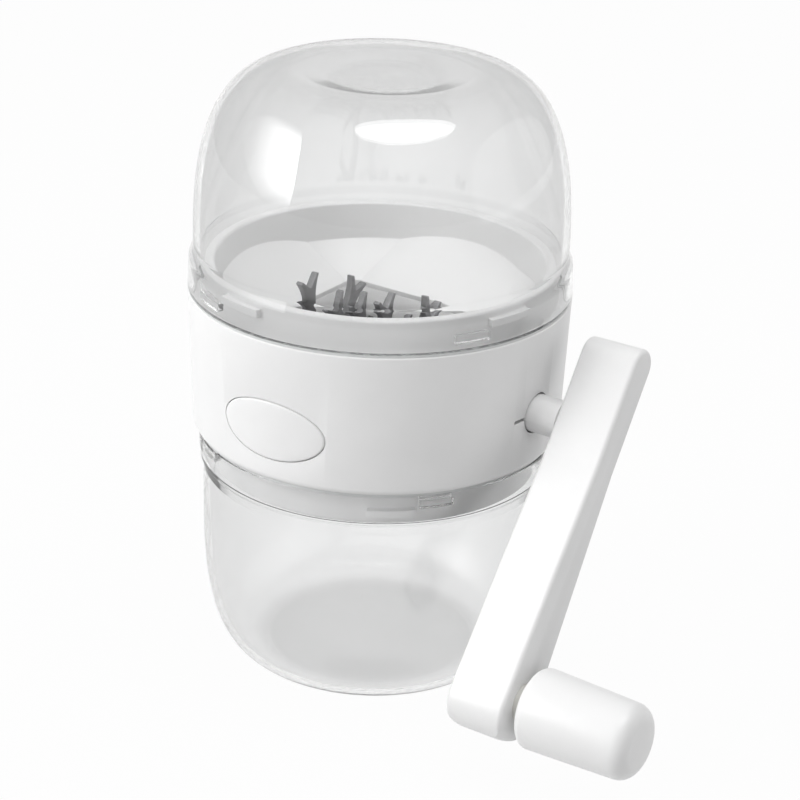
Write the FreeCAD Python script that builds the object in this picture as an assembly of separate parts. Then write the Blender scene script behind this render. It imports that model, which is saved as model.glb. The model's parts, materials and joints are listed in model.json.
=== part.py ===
import FreeCAD, Part
import os
from math import cos, sin, tan, radians, sqrt, pi

# Hand cranked nut chopper: a white grinding body between two clear cups.
# Millimetres, +Z up, origin at the centre of the ring that the lower cup stands on.
# +X is the crank's axis, pointing out towards the knob.

# Heights, stacked from the table upwards
lower_cup_height = 71.6
seal_thickness = 0.8
body_height = 41.6
upper_cup_height = 63.0
axis_rise = 16.5

# Upper cup
upper_mouth_radius = 55.0
upper_skirt_height = 8.8
upper_dome_step = 1.6
upper_step_height = 3.0
upper_dome_start = 13.0
upper_dome_power = 2.56
upper_top_radius = 27.7
upper_dish_rim = 1.2

# Lower cup
lower_mouth_step = 3.0
lower_skirt_height = 8.6
lower_dome_step = 1.3
lower_step_height = 1.2
lower_dome_start = 23.8
lower_dome_power = 2.75
lower_foot_radius = 31.1
lower_dish_rim = 2.0

# Walls of both cups
skirt_wall = 2.2
cup_wall = 2.0
skirt_draft = 0.4
step_rounding_share = 1.2
dish_depth = 1.4
dish_slope = 5.0
dish_rounding = 5.0

# Bayonet between each cup and its neck
bayonet_count = 4
lug_depth = 1.8
lug_height = 2.2
lug_angle = 11.4
rib_angle = 16.0
rib_cup_gap = 0.5
lug_neck_gap = 0.4
lug_rib_gap = 0.5
lug_rib_turn = 0.8
upper_lug_height = 1.5
upper_rib_direction = -12.6
lower_rib_height = 5.2
lower_rib_direction = -50.0

# Body shell
body_wall = 2.2
body_top_inset = 0.1
body_bottom_overhang = 1.4
body_edge_rounding = 2.4
body_top_rounding = 0.5
ledge_thickness = 2.2
ledge_gap = 0.5
neck_flange_gap = 0.2

# Oval cover on the body
oval_direction = -88.4
oval_width = 33.6
oval_height = 17.8
oval_groove = 0.3
oval_depth = 1.3
oval_proud = 0.25
oval_above_axis = -0.9

# Hopper: neck ring, funnel and spout
neck_height = 8.9
rim_width = 3.4
rim_rounding = 0.8
neck_flange_width = 1.6
neck_flange_thickness = 2.2
funnel_lip_drop = 2.5
funnel_wall = 2.2
funnel_depth = 9.2
funnel_corner_angle = 36.0
spout_length = 55.0
spout_width = 50.0
spout_rounding = 3.0
spout_depth = 1.5

# Lower collar
lower_neck_depth = 10.8
lower_neck_wall = 2.8
collar_plate_thickness = 2.0
collar_plate_overlap = 1.9
chamber_fit_gap = 0.2

# Grinding chamber
chamber_wall = 2.2
chamber_below_axis = 22.9
chamber_flange_width = 2.8
chamber_flange_thickness = 2.0

# Screws that clamp the body together, and their bosses
screw_along = 14.0
screw_radius = 1.5
screw_head_radius = 3.0
screw_head_height = 2.0
screw_head_rounding = 0.7
screw_cross_length = 3.6
screw_cross_width = 0.7
screw_length = 14.0
screw_clearance = 0.2
screw_head_gap = 0.2
press_clearance = 0.05
boss_radius = 3.2
boss_bore_spare = 1.0

# Shaft, bushes and clip
shaft_square = 6.0
square_clearance = 0.1
end_journal_radius = 3.0
drive_journal_radius = 5.0
running_clearance = 0.05
bush_flange_thickness = 1.1
bush_flange_width = 2.0
bush_wall = 1.8
bush_overhang = 1.8
bush_rounding = 0.3
shoulder_gap = 0.1
drive_hub_radius = 7.2
drive_hub_rounding = 0.6
socket_depth = 9.5
clip_thickness = 0.8
clip_width = 2.0
clip_groove_depth = 0.6
clip_mouth_share = 0.7
shaft_tail = 1.4

# Star blades and spacers
blade_count = 7
blade_thickness = 2.0
left_spacer_length = 1.7
right_spacer_length = 8.7
blade_tip_gap = 1.7
blade_hub_radius = 7.6
blade_arms = 4
blade_root_half_angle = 32.0
blade_waist_radius = 12.6
blade_waist_width = 4.2
blade_flank_hollow = 0.54
blade_side_hollow = 0.98
fork_half_angle = 11.0
fork_tip_width = 1.3
fork_tip_lean = 25.0
fork_notch_radius = 20.4
fork_notch_rounding = 0.7
shaft_turn = -9.0
blade_turns = (-8.0, 33.0, -23.0, -17.0, -6.0, 31.0, 3.0)
spacer_radius = 5.6

# Fixed combs
comb_tooth_thickness = 1.8
comb_height = 8.0
comb_tip_height = 4.0
comb_back_thickness = 2.0
comb_slot_clearance = 0.1
comb_tip_gap = 1.6

# Crank
crank_reach = 76.65
crank_rest_angle = 35.0
arm_gap = 7.8
arm_depth = 17.4
arm_top = 25.2
arm_bottom = 11.7
arm_top_width = 10.6
arm_bottom_width = 20.6
flare_start = 10.0
arm_flare_rounding = 12.0
arm_end_rounding = 8.6
arm_side_rounding = 4.0
arm_edge_rounding = 1.2
arm_wall = 2.0
arm_face_thickness = 2.4
arm_rib_thickness = 1.4
arm_rib_count = 4
stub_radius = 5.5
stub_hole_clearance = 0.5
stub_hub_gap = 1.6
key_slot_length = 4.2
key_slot_height = 1.1
key_clearance = 0.2
key_thickness = 1.6
key_wall_gap = 1.4
drive_pin_length = 22.5
drive_pin_end_gap = 0.5

# Knob and its pin
knob_gap = 3.4
knob_length = 33.6
knob_inner_radius = 11.5
knob_outer_radius = 10.5
knob_inner_rounding = 2.6
knob_outer_rounding = 4.6
knob_crown = 0.7
knob_wall = 2.0
knob_tube_wall = 1.8
knob_end_wall = 5.0
knob_pin_radius = 3.0
knob_boss_radius = 5.8
knob_pin_root = 12.0
knob_pin_collar_radius = 5.2
knob_pin_reach = 24.0
knob_pin_rounding = 0.3
knob_head_radius = 3.7
knob_head_length = 2.4
knob_head_rounding = 0.6
knob_head_gap = 0.4

# Levels worked out from the sizes above
lower_mouth_z = lower_cup_height
body_bottom_z = lower_mouth_z + seal_thickness
body_top_z = body_bottom_z + body_height
upper_mouth_z = body_top_z + seal_thickness
axis_height = body_bottom_z + axis_rise
neck_top_z = body_top_z + neck_height
funnel_top_z = body_top_z - funnel_lip_drop
funnel_bottom_z = funnel_top_z - funnel_depth
chamber_top_z = funnel_bottom_z - spout_depth
collar_plate_z = body_bottom_z + ledge_thickness
chamber_seat_z = collar_plate_z + collar_plate_thickness
chamber_bottom_z = axis_height - chamber_below_axis

# Radii
lower_mouth_radius = upper_mouth_radius - lower_mouth_step
upper_dome_radius = upper_mouth_radius - upper_dome_step
lower_dome_radius = lower_mouth_radius - lower_dome_step
upper_neck_radius = upper_mouth_radius - skirt_wall - lug_depth - lug_neck_gap
lower_neck_radius = lower_mouth_radius - skirt_wall - lug_depth - lug_neck_gap
body_top_radius = upper_mouth_radius - body_top_inset
body_bottom_radius = lower_mouth_radius + body_bottom_overhang
hopper_radius = upper_neck_radius - rim_width
screw_circle_radius = lower_neck_radius - lower_neck_wall - screw_head_radius - screw_head_gap
screw_across = sqrt(screw_circle_radius ** 2 - screw_along ** 2)
key_radius = stub_radius + stub_hole_clearance + key_slot_length - key_clearance

# Places along the crank's axis, and across it
chamber_end_x = spout_length / 2 + chamber_wall
chamber_side_y = spout_width / 2 + chamber_wall
stack_end_x = spout_length / 2 - bush_flange_thickness - shoulder_gap
stack_start_x = -stack_end_x
stack_room = stack_end_x - stack_start_x - left_spacer_length - right_spacer_length
blade_pitch = (stack_room - blade_thickness) / (blade_count - 1)
first_blade_x = stack_start_x + left_spacer_length + blade_thickness / 2
last_blade_x = first_blade_x + (blade_count - 1) * blade_pitch
clip_x = -(chamber_end_x + bush_overhang + shoulder_gap + clip_thickness)
drive_hub_x = chamber_end_x + bush_overhang + shoulder_gap
body_inner_x = sqrt((body_bottom_radius - body_wall) ** 2 - key_radius ** 2)
stub_end_x = body_inner_x - key_wall_gap - key_thickness
drive_hub_end_x = stub_end_x - stub_hub_gap
drive_pin_start_x = drive_hub_end_x - socket_depth + drive_pin_end_gap
drive_pin_end_x = drive_pin_start_x + drive_pin_length
arm_inner_x = body_top_radius + arm_gap
arm_outer_x = arm_inner_x + arm_depth
knob_pin_root_x = arm_outer_x - knob_pin_root

# Turns and bores
twist_step = 360.0 / bayonet_count
blade_hole = shaft_square + 2 * square_clearance
blade_tip_radius = spout_width / 2 - blade_tip_gap

center = FreeCAD.Vector(0, 0, 0)
up = FreeCAD.Vector(0, 0, 1)
along = FreeCAD.Vector(1, 0, 0)
axis_point = FreeCAD.Vector(0, 0, axis_height)
knob_center = axis_point - up * crank_reach


def point(x, y, z):
    return FreeCAD.Vector(x, y, z)


def save(name, shape):
    shape.exportStep("parts/" + name + ".step")


def straight(start, end):
    return Part.LineSegment(start, end).toShape()


# Edges of a path through corners, each (place, radius) and rounded by the arc that fits it
def rounded_path(corners, closed=False):
    edges = []
    count = len(corners)
    joins = []
    for index, (place, radius) in enumerate(corners):
        inner = closed or 0 < index < count - 1
        if radius == 0 or not inner:
            joins.append((place, None, place))
            continue
        to_last = (corners[index - 1][0] - place).normalize()
        to_next = (corners[(index + 1) % count][0] - place).normalize()
        half = to_last.getAngle(to_next) / 2
        bisector = (to_last + to_next).normalize()
        reach = radius / tan(half)
        middle = place + bisector * (radius / sin(half) - radius)
        joins.append((place + to_last * reach, middle, place + to_next * reach))
    for index, (start, middle, end) in enumerate(joins):
        if middle is not None:
            edges.append(Part.Arc(start, middle, end).toShape())
        following = joins[(index + 1) % count][0]
        if (closed or index < count - 1) and end.distanceToPoint(following) > 1e-6:
            edges.append(straight(end, following))
    return edges


def face_of(edges):
    return Part.Face(Part.Wire(Part.__sortEdges__(edges)))


# A profile of (radius, height, rounding) corners, turned about the body's upright axis
def turned(corners, angle=360.0):
    path = rounded_path([(point(r, 0, z), fillet) for r, z, fillet in corners], True)
    return face_of(path).revolve(center, up, angle)


# A profile of (x, radius, rounding) corners, turned about the crank's axis or one beside it
def turned_along(corners, middle=axis_point):
    places = [(middle + point(x, 0, r), fillet) for x, r, fillet in corners]
    return face_of(rounded_path(places, True)).revolve(middle, along, 360)


def rod(start_x, end_x, radius, middle=axis_point):
    return Part.makeCylinder(radius, end_x - start_x, middle + along * start_x, along)


def rod_up(radius, low, high):
    return Part.makeCylinder(radius, high - low, point(0, 0, low))


# A square bar on the crank's axis, turned with the shaft
def square_bar(start_x, end_x, side):
    bar = Part.makeBox(end_x - start_x, side, side, point(start_x, -side / 2, axis_height - side / 2))
    return bar.rotate(axis_point, along, -shaft_turn)


# A block between two radii and heights, as wide as an angle about the upright axis
def ring_block(inner, outer, low, high, direction, angle):
    block = turned([(inner, low, 0), (outer, low, 0), (outer, high, 0), (inner, high, 0)], angle)
    return block.rotate(center, up, direction - angle / 2)


def rounded_rectangle(length, width, radius, z):
    x = length / 2
    y = width / 2
    corners = [point(x, -y, z), point(x, y, z), point(-x, y, z), point(-x, -y, z)]
    return [(corner, radius) for corner in corners]


def rectangle_prism(length, width, radius, low, high):
    face = face_of(rounded_path(rounded_rectangle(length, width, radius, low), True))
    return face.extrude(up * (high - low))


# The rounded shoulder of a cup, from its upright wall to its flat end
def shoulder_curve(wall_radius, flat_radius, start_z, end_z, power):
    places = []
    steps = 9
    for step in range(steps + 1):
        turn = pi / 2 * step / steps
        out = max(cos(turn), 0) ** (2 / power)
        rise = sin(turn) ** (2 / power)
        r = flat_radius + (wall_radius - flat_radius) * out
        places.append(point(r, 0, start_z + (end_z - start_z) * rise))
    curve = Part.BSplineCurve()
    heading = 1 if end_z > start_z else -1
    curve.interpolate(Points=places, InitialTangent=point(0, 0, heading), FinalTangent=point(-1, 0, 0))
    return curve.toShape()


# A clear cup as a turned shell: skirt, sloped step, shoulder and an end with a shallow dish.
# Heights grow from the mouth towards the closed end, by the given sense along Z.
def cup(mouth_z, sense, height, mouth_radius, skirt_height, step_height, dome_radius, dome_start, power,
        end_radius, dish_rim):
    def at(r, h):
        return point(r, 0, mouth_z + sense * h)

    skirt_inner = mouth_radius - skirt_wall
    wall_inner = dome_radius - cup_wall
    step_rounding = step_rounding_share * step_height
    outer = rounded_path([
        (at(mouth_radius, 0), 0),
        (at(mouth_radius - skirt_draft, skirt_height), step_rounding),
        (at(dome_radius, skirt_height + step_height), step_rounding),
        (at(dome_radius, dome_start), 0),
    ])
    dome_z = mouth_z + sense * dome_start
    outer.append(shoulder_curve(dome_radius, end_radius, dome_z, mouth_z + sense * height, power))
    dish_edge = end_radius - dish_rim
    outer += rounded_path([
        (at(end_radius, height), 0),
        (at(dish_edge, height), dish_rounding),
        (at(dish_edge - dish_slope, height - dish_depth), dish_rounding),
        (at(0, height - dish_depth), 0),
    ])
    floor = height - cup_wall
    outer.append(straight(at(0, height - dish_depth), at(0, floor - dish_depth)))
    outer += rounded_path([
        (at(0, floor - dish_depth), 0),
        (at(dish_edge - dish_slope, floor - dish_depth), dish_rounding),
        (at(dish_edge, floor), dish_rounding),
        (at(end_radius, floor), 0),
    ])
    outer.append(shoulder_curve(wall_inner, end_radius, dome_z, mouth_z + sense * floor, power))
    outer += rounded_path([
        (at(wall_inner, dome_start), 0),
        (at(wall_inner, skirt_height + step_height), step_rounding / 2),
        (at(skirt_inner, skirt_height), step_rounding / 2),
        (at(skirt_inner, 0), 0),
    ])
    outer.append(straight(at(skirt_inner, 0), at(mouth_radius, 0)))
    return face_of(outer).revolve(center, up, 360)


# Lugs inside a cup's skirt; they stand beside the neck's ribs until the cup is turned
def cup_lugs(mouth_radius, low, direction):
    lugs = []
    inner = mouth_radius - skirt_wall - lug_depth
    outer = mouth_radius - skirt_wall / 2
    for index in range(bayonet_count):
        heading = direction + index * twist_step
        lugs.append(ring_block(inner, outer, low, low + lug_height, heading, lug_angle))
    return lugs


def neck_ribs(mouth_radius, low, direction):
    ribs = []
    neck_radius = mouth_radius - skirt_wall - lug_depth - lug_neck_gap
    inner = neck_radius - lug_depth / 2
    outer = mouth_radius - skirt_wall - rib_cup_gap
    for index in range(bayonet_count):
        heading = direction + index * twist_step
        ribs.append(ring_block(inner, outer, low, low + lug_height, heading, rib_angle))
    return ribs


lug_offset = rib_angle / 2 + lug_angle / 2 + lug_rib_turn
upper_lug_z = upper_mouth_z + upper_lug_height
upper_rib_z = upper_lug_z + lug_height + lug_rib_gap
lower_rib_z = lower_mouth_z - lower_rib_height - lug_height
lower_lug_z = lower_rib_z + lug_height + lug_rib_gap


def make_upper_cup():
    shell = cup(upper_mouth_z, 1, upper_cup_height, upper_mouth_radius, upper_skirt_height,
                upper_step_height, upper_dome_radius, upper_dome_start, upper_dome_power,
                upper_top_radius, upper_dish_rim)
    lugs = cup_lugs(upper_mouth_radius, upper_lug_z, upper_rib_direction - lug_offset)
    return shell.fuse(lugs)


def make_lower_cup():
    shell = cup(lower_mouth_z, -1, lower_cup_height, lower_mouth_radius, lower_skirt_height,
                lower_step_height, lower_dome_radius, lower_dome_start, lower_dome_power,
                lower_foot_radius, lower_dish_rim)
    lugs = cup_lugs(lower_mouth_radius, lower_lug_z, lower_rib_direction + lug_offset)
    return shell.fuse(lugs)


def make_seal(low, mouth_radius):
    inner = mouth_radius - skirt_wall
    outer = mouth_radius - skirt_draft
    high = low + seal_thickness
    return turned([(inner, low, 0), (outer, low, 0), (outer, high, 0), (inner, high, 0)])


# The solid turned form inside the body's outer skin, grown outwards by an offset
def body_form(offset):
    return turned([
        (0, body_bottom_z, 0),
        (body_bottom_radius + offset, body_bottom_z, body_edge_rounding),
        (body_top_radius + offset, body_top_z, body_top_rounding),
        (0, body_top_z, 0),
    ])


def oval_prism(width, height):
    ellipse = Part.Ellipse(point(0, 0, 0), width / 2, height / 2).toShape()
    face = Part.Face(Part.Wire([ellipse]))
    face.rotate(center, along, 90)
    face.translate(axis_point + up * oval_above_axis)
    prism = face.extrude(point(0, -upper_mouth_radius * 2, 0))
    return prism.rotate(center, up, oval_direction + 90)


def make_body_shell():
    flange_radius = upper_neck_radius + neck_flange_width
    ledge_z = body_top_z - neck_flange_thickness
    low_inner = body_bottom_radius - body_wall
    high_inner = body_top_radius - body_wall
    seat_radius = flange_radius + neck_flange_gap
    cavity = turned([
        (0, collar_plate_z, 0),
        (low_inner, collar_plate_z, body_wall / 2),
        (high_inner, ledge_z - ledge_thickness - body_wall, 0),
        (upper_neck_radius + ledge_gap, ledge_z - ledge_thickness, 0),
        (upper_neck_radius + ledge_gap, ledge_z, 0),
        (seat_radius, ledge_z, 0),
        (seat_radius, body_top_z, 0),
        (0, body_top_z, 0),
    ])
    opening = rod_up(lower_neck_radius + ledge_gap, body_bottom_z, collar_plate_z)
    hole = rod(0, upper_mouth_radius * 2, stub_radius + stub_hole_clearance)
    slot_reach = stub_radius + stub_hole_clearance + key_slot_length
    slot = Part.makeBox(upper_mouth_radius * 2, slot_reach, key_slot_height,
                        point(0, -slot_reach, axis_height - key_slot_height / 2))
    outside = body_form(oval_proud + oval_depth).cut(body_form(-oval_depth))
    recess = oval_prism(oval_width, oval_height).common(outside)
    return body_form(0).cut([cavity, opening, hole, slot, recess])


def make_oval_cover():
    skin = body_form(oval_proud).cut(body_form(-oval_depth))
    return oval_prism(oval_width - 2 * oval_groove, oval_height - 2 * oval_groove).common(skin)


# The filled form of a square-to-round funnel under a round wall. Each corner of its rounded rectangle
# opens as a cone into an arc of the wall, and each side is a plane that runs on up to the wall.
def funnel_form(radius, corner_z, length, width, rounding, low, high):
    half_arc = radians(funnel_corner_angle / 2)
    reach = radius * cos(pi / 4 - half_arc)
    ring = []
    outline = []
    for index in range(4):
        heading = pi / 4 + pi / 2 * index
        headings = (heading - half_arc, heading, heading + half_arc)
        ring.append([point(radius * cos(a), radius * sin(a), corner_z) for a in headings])
        side_x = 1 if index in (0, 3) else -1
        side_y = 1 if index in (0, 1) else -1
        pivot = point(side_x * (length / 2 - rounding), side_y * (width / 2 - rounding), low)
        turns = (heading - pi / 4, heading, heading + pi / 4)
        outline.append([pivot + point(rounding * cos(a), rounding * sin(a), 0) for a in turns])
    cone = Part.makeLoft([arcs_and_chords(ring), arcs_and_chords(outline)], True, True)
    rise = (high - corner_z) / (corner_z - low)
    top_length = 2 * reach + rise * (2 * reach - length)
    top_width = 2 * reach + rise * (2 * reach - width)
    base = Part.makePolygon(rectangle_places(2 * reach, 2 * reach, corner_z))
    top = Part.makePolygon(rectangle_places(top_length, top_width, high))
    planes = Part.makeLoft([base, top], True, True)
    return cone.fuse(planes.common(rod_up(radius, corner_z, high)))


def rectangle_places(length, width, z):
    x = length / 2
    y = width / 2
    return [point(x, -y, z), point(x, y, z), point(-x, y, z), point(-x, -y, z), point(x, -y, z)]


# A closed wire of arcs, each given by three places, with straight lines between them
def arcs_and_chords(arcs):
    edges = []
    for index, (start, middle, end) in enumerate(arcs):
        edges.append(Part.Arc(start, middle, end).toShape())
        edges.append(straight(end, arcs[(index + 1) % len(arcs)][0]))
    return Part.Wire(edges)


def screw_places():
    return [(sx * screw_along, sy * screw_across) for sx in (-1, 1) for sy in (-1, 1)]


def make_hopper():
    flange_radius = upper_neck_radius + neck_flange_width
    flange_z = body_top_z - neck_flange_thickness
    outer_radius = hopper_radius + funnel_wall
    neck = turned([
        (hopper_radius, funnel_top_z, 0),
        (hopper_radius, neck_top_z, rim_rounding),
        (upper_neck_radius, neck_top_z, rim_rounding),
        (upper_neck_radius, body_top_z, 0),
        (flange_radius, body_top_z, 0),
        (flange_radius, flange_z, 0),
        (outer_radius, flange_z, 0),
        (outer_radius, funnel_top_z - funnel_wall, 0),
        (hopper_radius, funnel_top_z - funnel_wall, 0),
    ])
    outer_length = spout_length + 2 * funnel_wall
    outer_width = spout_width + 2 * funnel_wall
    funnel_outside = funnel_form(outer_radius, funnel_top_z - funnel_wall, outer_length, outer_width,
                                 spout_rounding + funnel_wall, chamber_top_z, neck_top_z - rim_rounding)
    funnel_inside = funnel_form(hopper_radius, funnel_top_z, spout_length, spout_width,
                                spout_rounding, funnel_bottom_z, neck_top_z)
    spout = rectangle_prism(spout_length, spout_width, spout_rounding, chamber_top_z, funnel_bottom_z)
    bosses = []
    bores = []
    for x, y in screw_places():
        foot = point(x, y, chamber_seat_z)
        boss_height = funnel_top_z - funnel_wall - chamber_seat_z
        bosses.append(Part.makeCylinder(boss_radius, boss_height, foot))
        bore_depth = screw_length - collar_plate_thickness + boss_bore_spare
        bores.append(Part.makeCylinder(screw_radius + press_clearance, bore_depth, foot))
    ribs = neck_ribs(upper_mouth_radius, upper_rib_z, upper_rib_direction)
    whole = neck.fuse([funnel_outside] + bosses + ribs)
    return whole.cut([funnel_inside, spout] + bores).removeSplitter()


def make_collar():
    plate_radius = lower_neck_radius + ledge_gap + collar_plate_overlap
    neck_inner = lower_neck_radius - lower_neck_wall
    neck_bottom = body_bottom_z - lower_neck_depth
    collar = turned([
        (0, collar_plate_z, 0),
        (neck_inner, collar_plate_z, 0),
        (neck_inner, neck_bottom, lower_neck_wall / 3),
        (lower_neck_radius, neck_bottom, lower_neck_wall / 3),
        (lower_neck_radius, collar_plate_z, 0),
        (plate_radius, collar_plate_z, 0),
        (plate_radius, chamber_seat_z, 0),
        (0, chamber_seat_z, 0),
    ])
    ribs = neck_ribs(lower_mouth_radius, lower_rib_z, lower_rib_direction)
    gap = 2 * (chamber_wall + chamber_fit_gap)
    opening = rectangle_prism(spout_length + gap, spout_width + gap, spout_rounding + chamber_wall,
                              collar_plate_z - 1, chamber_seat_z + 1)
    holes = []
    for x, y in screw_places():
        holes.append(Part.makeCylinder(screw_radius + screw_clearance, collar_plate_thickness + 2,
                                       point(x, y, collar_plate_z - 1)))
    return collar.fuse(ribs).cut([opening] + holes).removeSplitter()


def comb_tooth_places():
    return [first_blade_x + (index + 0.5) * blade_pitch for index in range(blade_count - 1)]


def make_chamber():
    length = spout_length + 2 * chamber_wall
    width = spout_width + 2 * chamber_wall
    rounding = spout_rounding + chamber_wall
    tube = rectangle_prism(length, width, rounding, chamber_bottom_z, chamber_top_z)
    flange_top_z = chamber_seat_z + chamber_flange_thickness
    flange = rectangle_prism(length + 2 * chamber_flange_width, width + 2 * chamber_flange_width,
                             rounding + chamber_flange_width, chamber_seat_z, flange_top_z)
    inside = rectangle_prism(spout_length, spout_width, spout_rounding,
                             chamber_bottom_z - 1, chamber_top_z + 1)
    cuts = [inside]
    cuts.append(rod(-chamber_end_x - 1, 0, end_journal_radius + running_clearance + bush_wall))
    cuts.append(rod(0, chamber_end_x + 1, drive_journal_radius + running_clearance + bush_wall))
    slot_width = comb_tooth_thickness + 2 * comb_slot_clearance
    slot_height = comb_height + 2 * comb_slot_clearance
    for x in comb_tooth_places():
        cuts.append(Part.makeBox(slot_width, 2 * width, slot_height,
                                 point(x - slot_width / 2, -width, axis_height - slot_height / 2)))
    return tube.fuse(flange).cut(cuts).removeSplitter()


# A fixed comb: a back strip outside the chamber's wall and pointed teeth that reach between the blades
def make_comb(side):
    wall_y = chamber_side_y
    tip_y = spacer_radius + comb_tip_gap
    strip_y = wall_y + comb_back_thickness
    half = comb_height / 2
    tip_half = comb_tip_height / 2
    teeth = []
    places = comb_tooth_places()
    for x in places:
        start = x - comb_tooth_thickness / 2
        corners = [
            (point(start, wall_y, axis_height - half), 0),
            (point(start, wall_y, axis_height + half), 0),
            (point(start, tip_y + comb_height, axis_height + half), 0),
            (point(start, tip_y, axis_height + tip_half), tip_half / 2),
            (point(start, tip_y, axis_height - tip_half), tip_half / 2),
            (point(start, tip_y + comb_height, axis_height - half), 0),
        ]
        teeth.append(face_of(rounded_path(corners, True)).extrude(along * comb_tooth_thickness))
    margin = blade_pitch / 2
    strip = Part.makeBox(places[-1] - places[0] + 2 * margin, strip_y - wall_y, comb_height,
                         point(places[0] - margin, wall_y, axis_height - half))
    comb = strip.fuse(teeth).removeSplitter()
    if side < 0:
        comb = comb.mirror(center, point(0, 1, 0))
    return comb


# A flanged bush whose flange lies inside the chamber, on the end wall at the given X
def make_bush(sense, bore_radius):
    wall_x = sense * spout_length / 2
    bore = bore_radius + running_clearance
    outside = bore + bush_wall
    flange_x = wall_x - sense * bush_flange_thickness
    end_x = sense * (chamber_end_x + bush_overhang)
    return turned_along([
        (flange_x, bore, 0),
        (flange_x, outside + bush_flange_width, bush_rounding),
        (wall_x, outside + bush_flange_width, 0),
        (wall_x, outside, 0),
        (end_x, outside, bush_rounding),
        (end_x, bore, 0),
    ])


def make_drive_shaft():
    square = square_bar(stack_start_x, stack_end_x, shaft_square)
    tail_x = clip_x - shaft_tail
    journal = rod(tail_x, stack_start_x, end_journal_radius)
    groove = turned_along([
        (clip_x, end_journal_radius - clip_groove_depth, 0),
        (clip_x, end_journal_radius + 1, 0),
        (clip_x + clip_thickness, end_journal_radius + 1, 0),
        (clip_x + clip_thickness, end_journal_radius - clip_groove_depth, 0),
    ])
    hub = turned_along([
        (stack_end_x, 0, 0),
        (stack_end_x, drive_journal_radius, 0),
        (drive_hub_x, drive_journal_radius, 0),
        (drive_hub_x, drive_hub_radius, drive_hub_rounding),
        (drive_hub_end_x, drive_hub_radius, drive_hub_rounding),
        (drive_hub_end_x, 0, 0),
    ])
    socket = square_bar(drive_hub_end_x - socket_depth, drive_hub_end_x + 1, blade_hole)
    return square.fuse([journal, hub]).cut([groove, socket]).removeSplitter()


# An open snap ring in the groove at the shaft's far end
def make_shaft_clip():
    inner = end_journal_radius - clip_groove_depth + press_clearance
    outer = end_journal_radius + clip_width
    thickness = clip_thickness - 2 * press_clearance
    start_x = clip_x + press_clearance
    ring = rod(start_x, start_x + thickness, outer).cut(rod(start_x - 1, start_x + 2, inner))
    half_mouth = clip_mouth_share * inner
    mouth = Part.makeBox(thickness + 2, 2 * half_mouth, outer + 1,
                         point(start_x - 1, -half_mouth, axis_height - outer - 1))
    return ring.cut(mouth)


# An arc from one place to another, bent off their straight line by a hollow to its right
def hollow_arc(start, end, hollow):
    across = (end - start).cross(along).normalize()
    middle = (start + end) / 2 + across * hollow
    return Part.Arc(start, middle, end).toShape()


# One forked arm of a star blade, pointing up from the shaft, as a closed outline at the given X
def blade_arm(x):
    def at(y, z):
        return point(x, y, axis_height + z)

    tip = radians(fork_half_angle)
    lean = radians(fork_half_angle + fork_tip_lean)
    root = radians(blade_root_half_angle)
    tip_y = blade_tip_radius * sin(tip)
    tip_z = blade_tip_radius * cos(tip)
    inner_y = tip_y - fork_tip_width * cos(lean)
    inner_z = tip_z + fork_tip_width * sin(lean) / 2
    root_y = blade_hub_radius * sin(root)
    root_z = blade_hub_radius * cos(root)
    edges = []
    for sense in (1, -1):
        foot = at(sense * root_y, root_z)
        waist = at(sense * blade_waist_width / 2, blade_waist_radius)
        prong = at(sense * tip_y, tip_z)
        edges.append(hollow_arc(foot, waist, -sense * blade_flank_hollow))
        edges.append(hollow_arc(waist, prong, -sense * blade_side_hollow))
        edges.append(straight(prong, at(sense * inner_y, inner_z)))
    edges += rounded_path([
        (at(inner_y, inner_z), 0),
        (at(0, fork_notch_radius - fork_notch_rounding), fork_notch_rounding),
        (at(-inner_y, inner_z), 0),
    ])
    edges.append(straight(at(root_y, root_z), at(-root_y, root_z)))
    return face_of(edges).extrude(along * blade_thickness)


# The blades are stamped with the square hole at different turns, so that they strike one after the other
def make_blade(index):
    start_x = first_blade_x + index * blade_pitch - blade_thickness / 2
    angle = blade_turns[index % len(blade_turns)]
    arms = []
    for arm in range(blade_arms):
        piece = blade_arm(start_x)
        piece.rotate(axis_point, along, -(angle + arm * 360.0 / blade_arms))
        arms.append(piece)
    hub = rod(start_x, start_x + blade_thickness, blade_hub_radius)
    hole = square_bar(start_x - 1, start_x + blade_thickness + 1, blade_hole)
    return hub.fuse(arms).cut(hole).removeSplitter()


def make_spacer(start_x, end_x):
    return rod(start_x, end_x, spacer_radius).cut(square_bar(start_x - 1, end_x + 1, blade_hole))


def blade_spacers():
    half = blade_thickness / 2
    spacers = {"end_spacer_left": make_spacer(stack_start_x, first_blade_x - half)}
    for index in range(blade_count - 1):
        start_x = first_blade_x + index * blade_pitch + half
        end_x = start_x + blade_pitch - blade_thickness
        spacers["blade_spacer_%d" % (index + 1)] = make_spacer(start_x, end_x)
    spacers["end_spacer_right"] = make_spacer(last_blade_x + half, stack_end_x)
    return spacers


# The arm hangs straight down from the shaft while it is built; this turns it to its rest angle
def at_rest(shape):
    return shape.rotate(axis_point, along, -crank_rest_angle)


# The arm seen along the crank's axis, fully rounded at its top and narrowed by an inset
def arm_outline(x, inset):
    top = axis_height + arm_top - inset
    bottom = axis_height - crank_reach - arm_bottom + inset
    flare_z = axis_height - flare_start
    narrow = arm_top_width / 2 - inset
    wide = arm_bottom_width / 2 - inset
    end_round = arm_end_rounding - inset
    corners = []
    corners.append((point(x, narrow, top), narrow))
    corners.append((point(x, narrow, flare_z), arm_flare_rounding))
    corners.append((point(x, wide, bottom), end_round))
    corners.append((point(x, -wide, bottom), end_round))
    corners.append((point(x, -narrow, flare_z), arm_flare_rounding))
    corners.append((point(x, -narrow, top), narrow))
    return face_of(rounded_path(corners, True))


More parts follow.
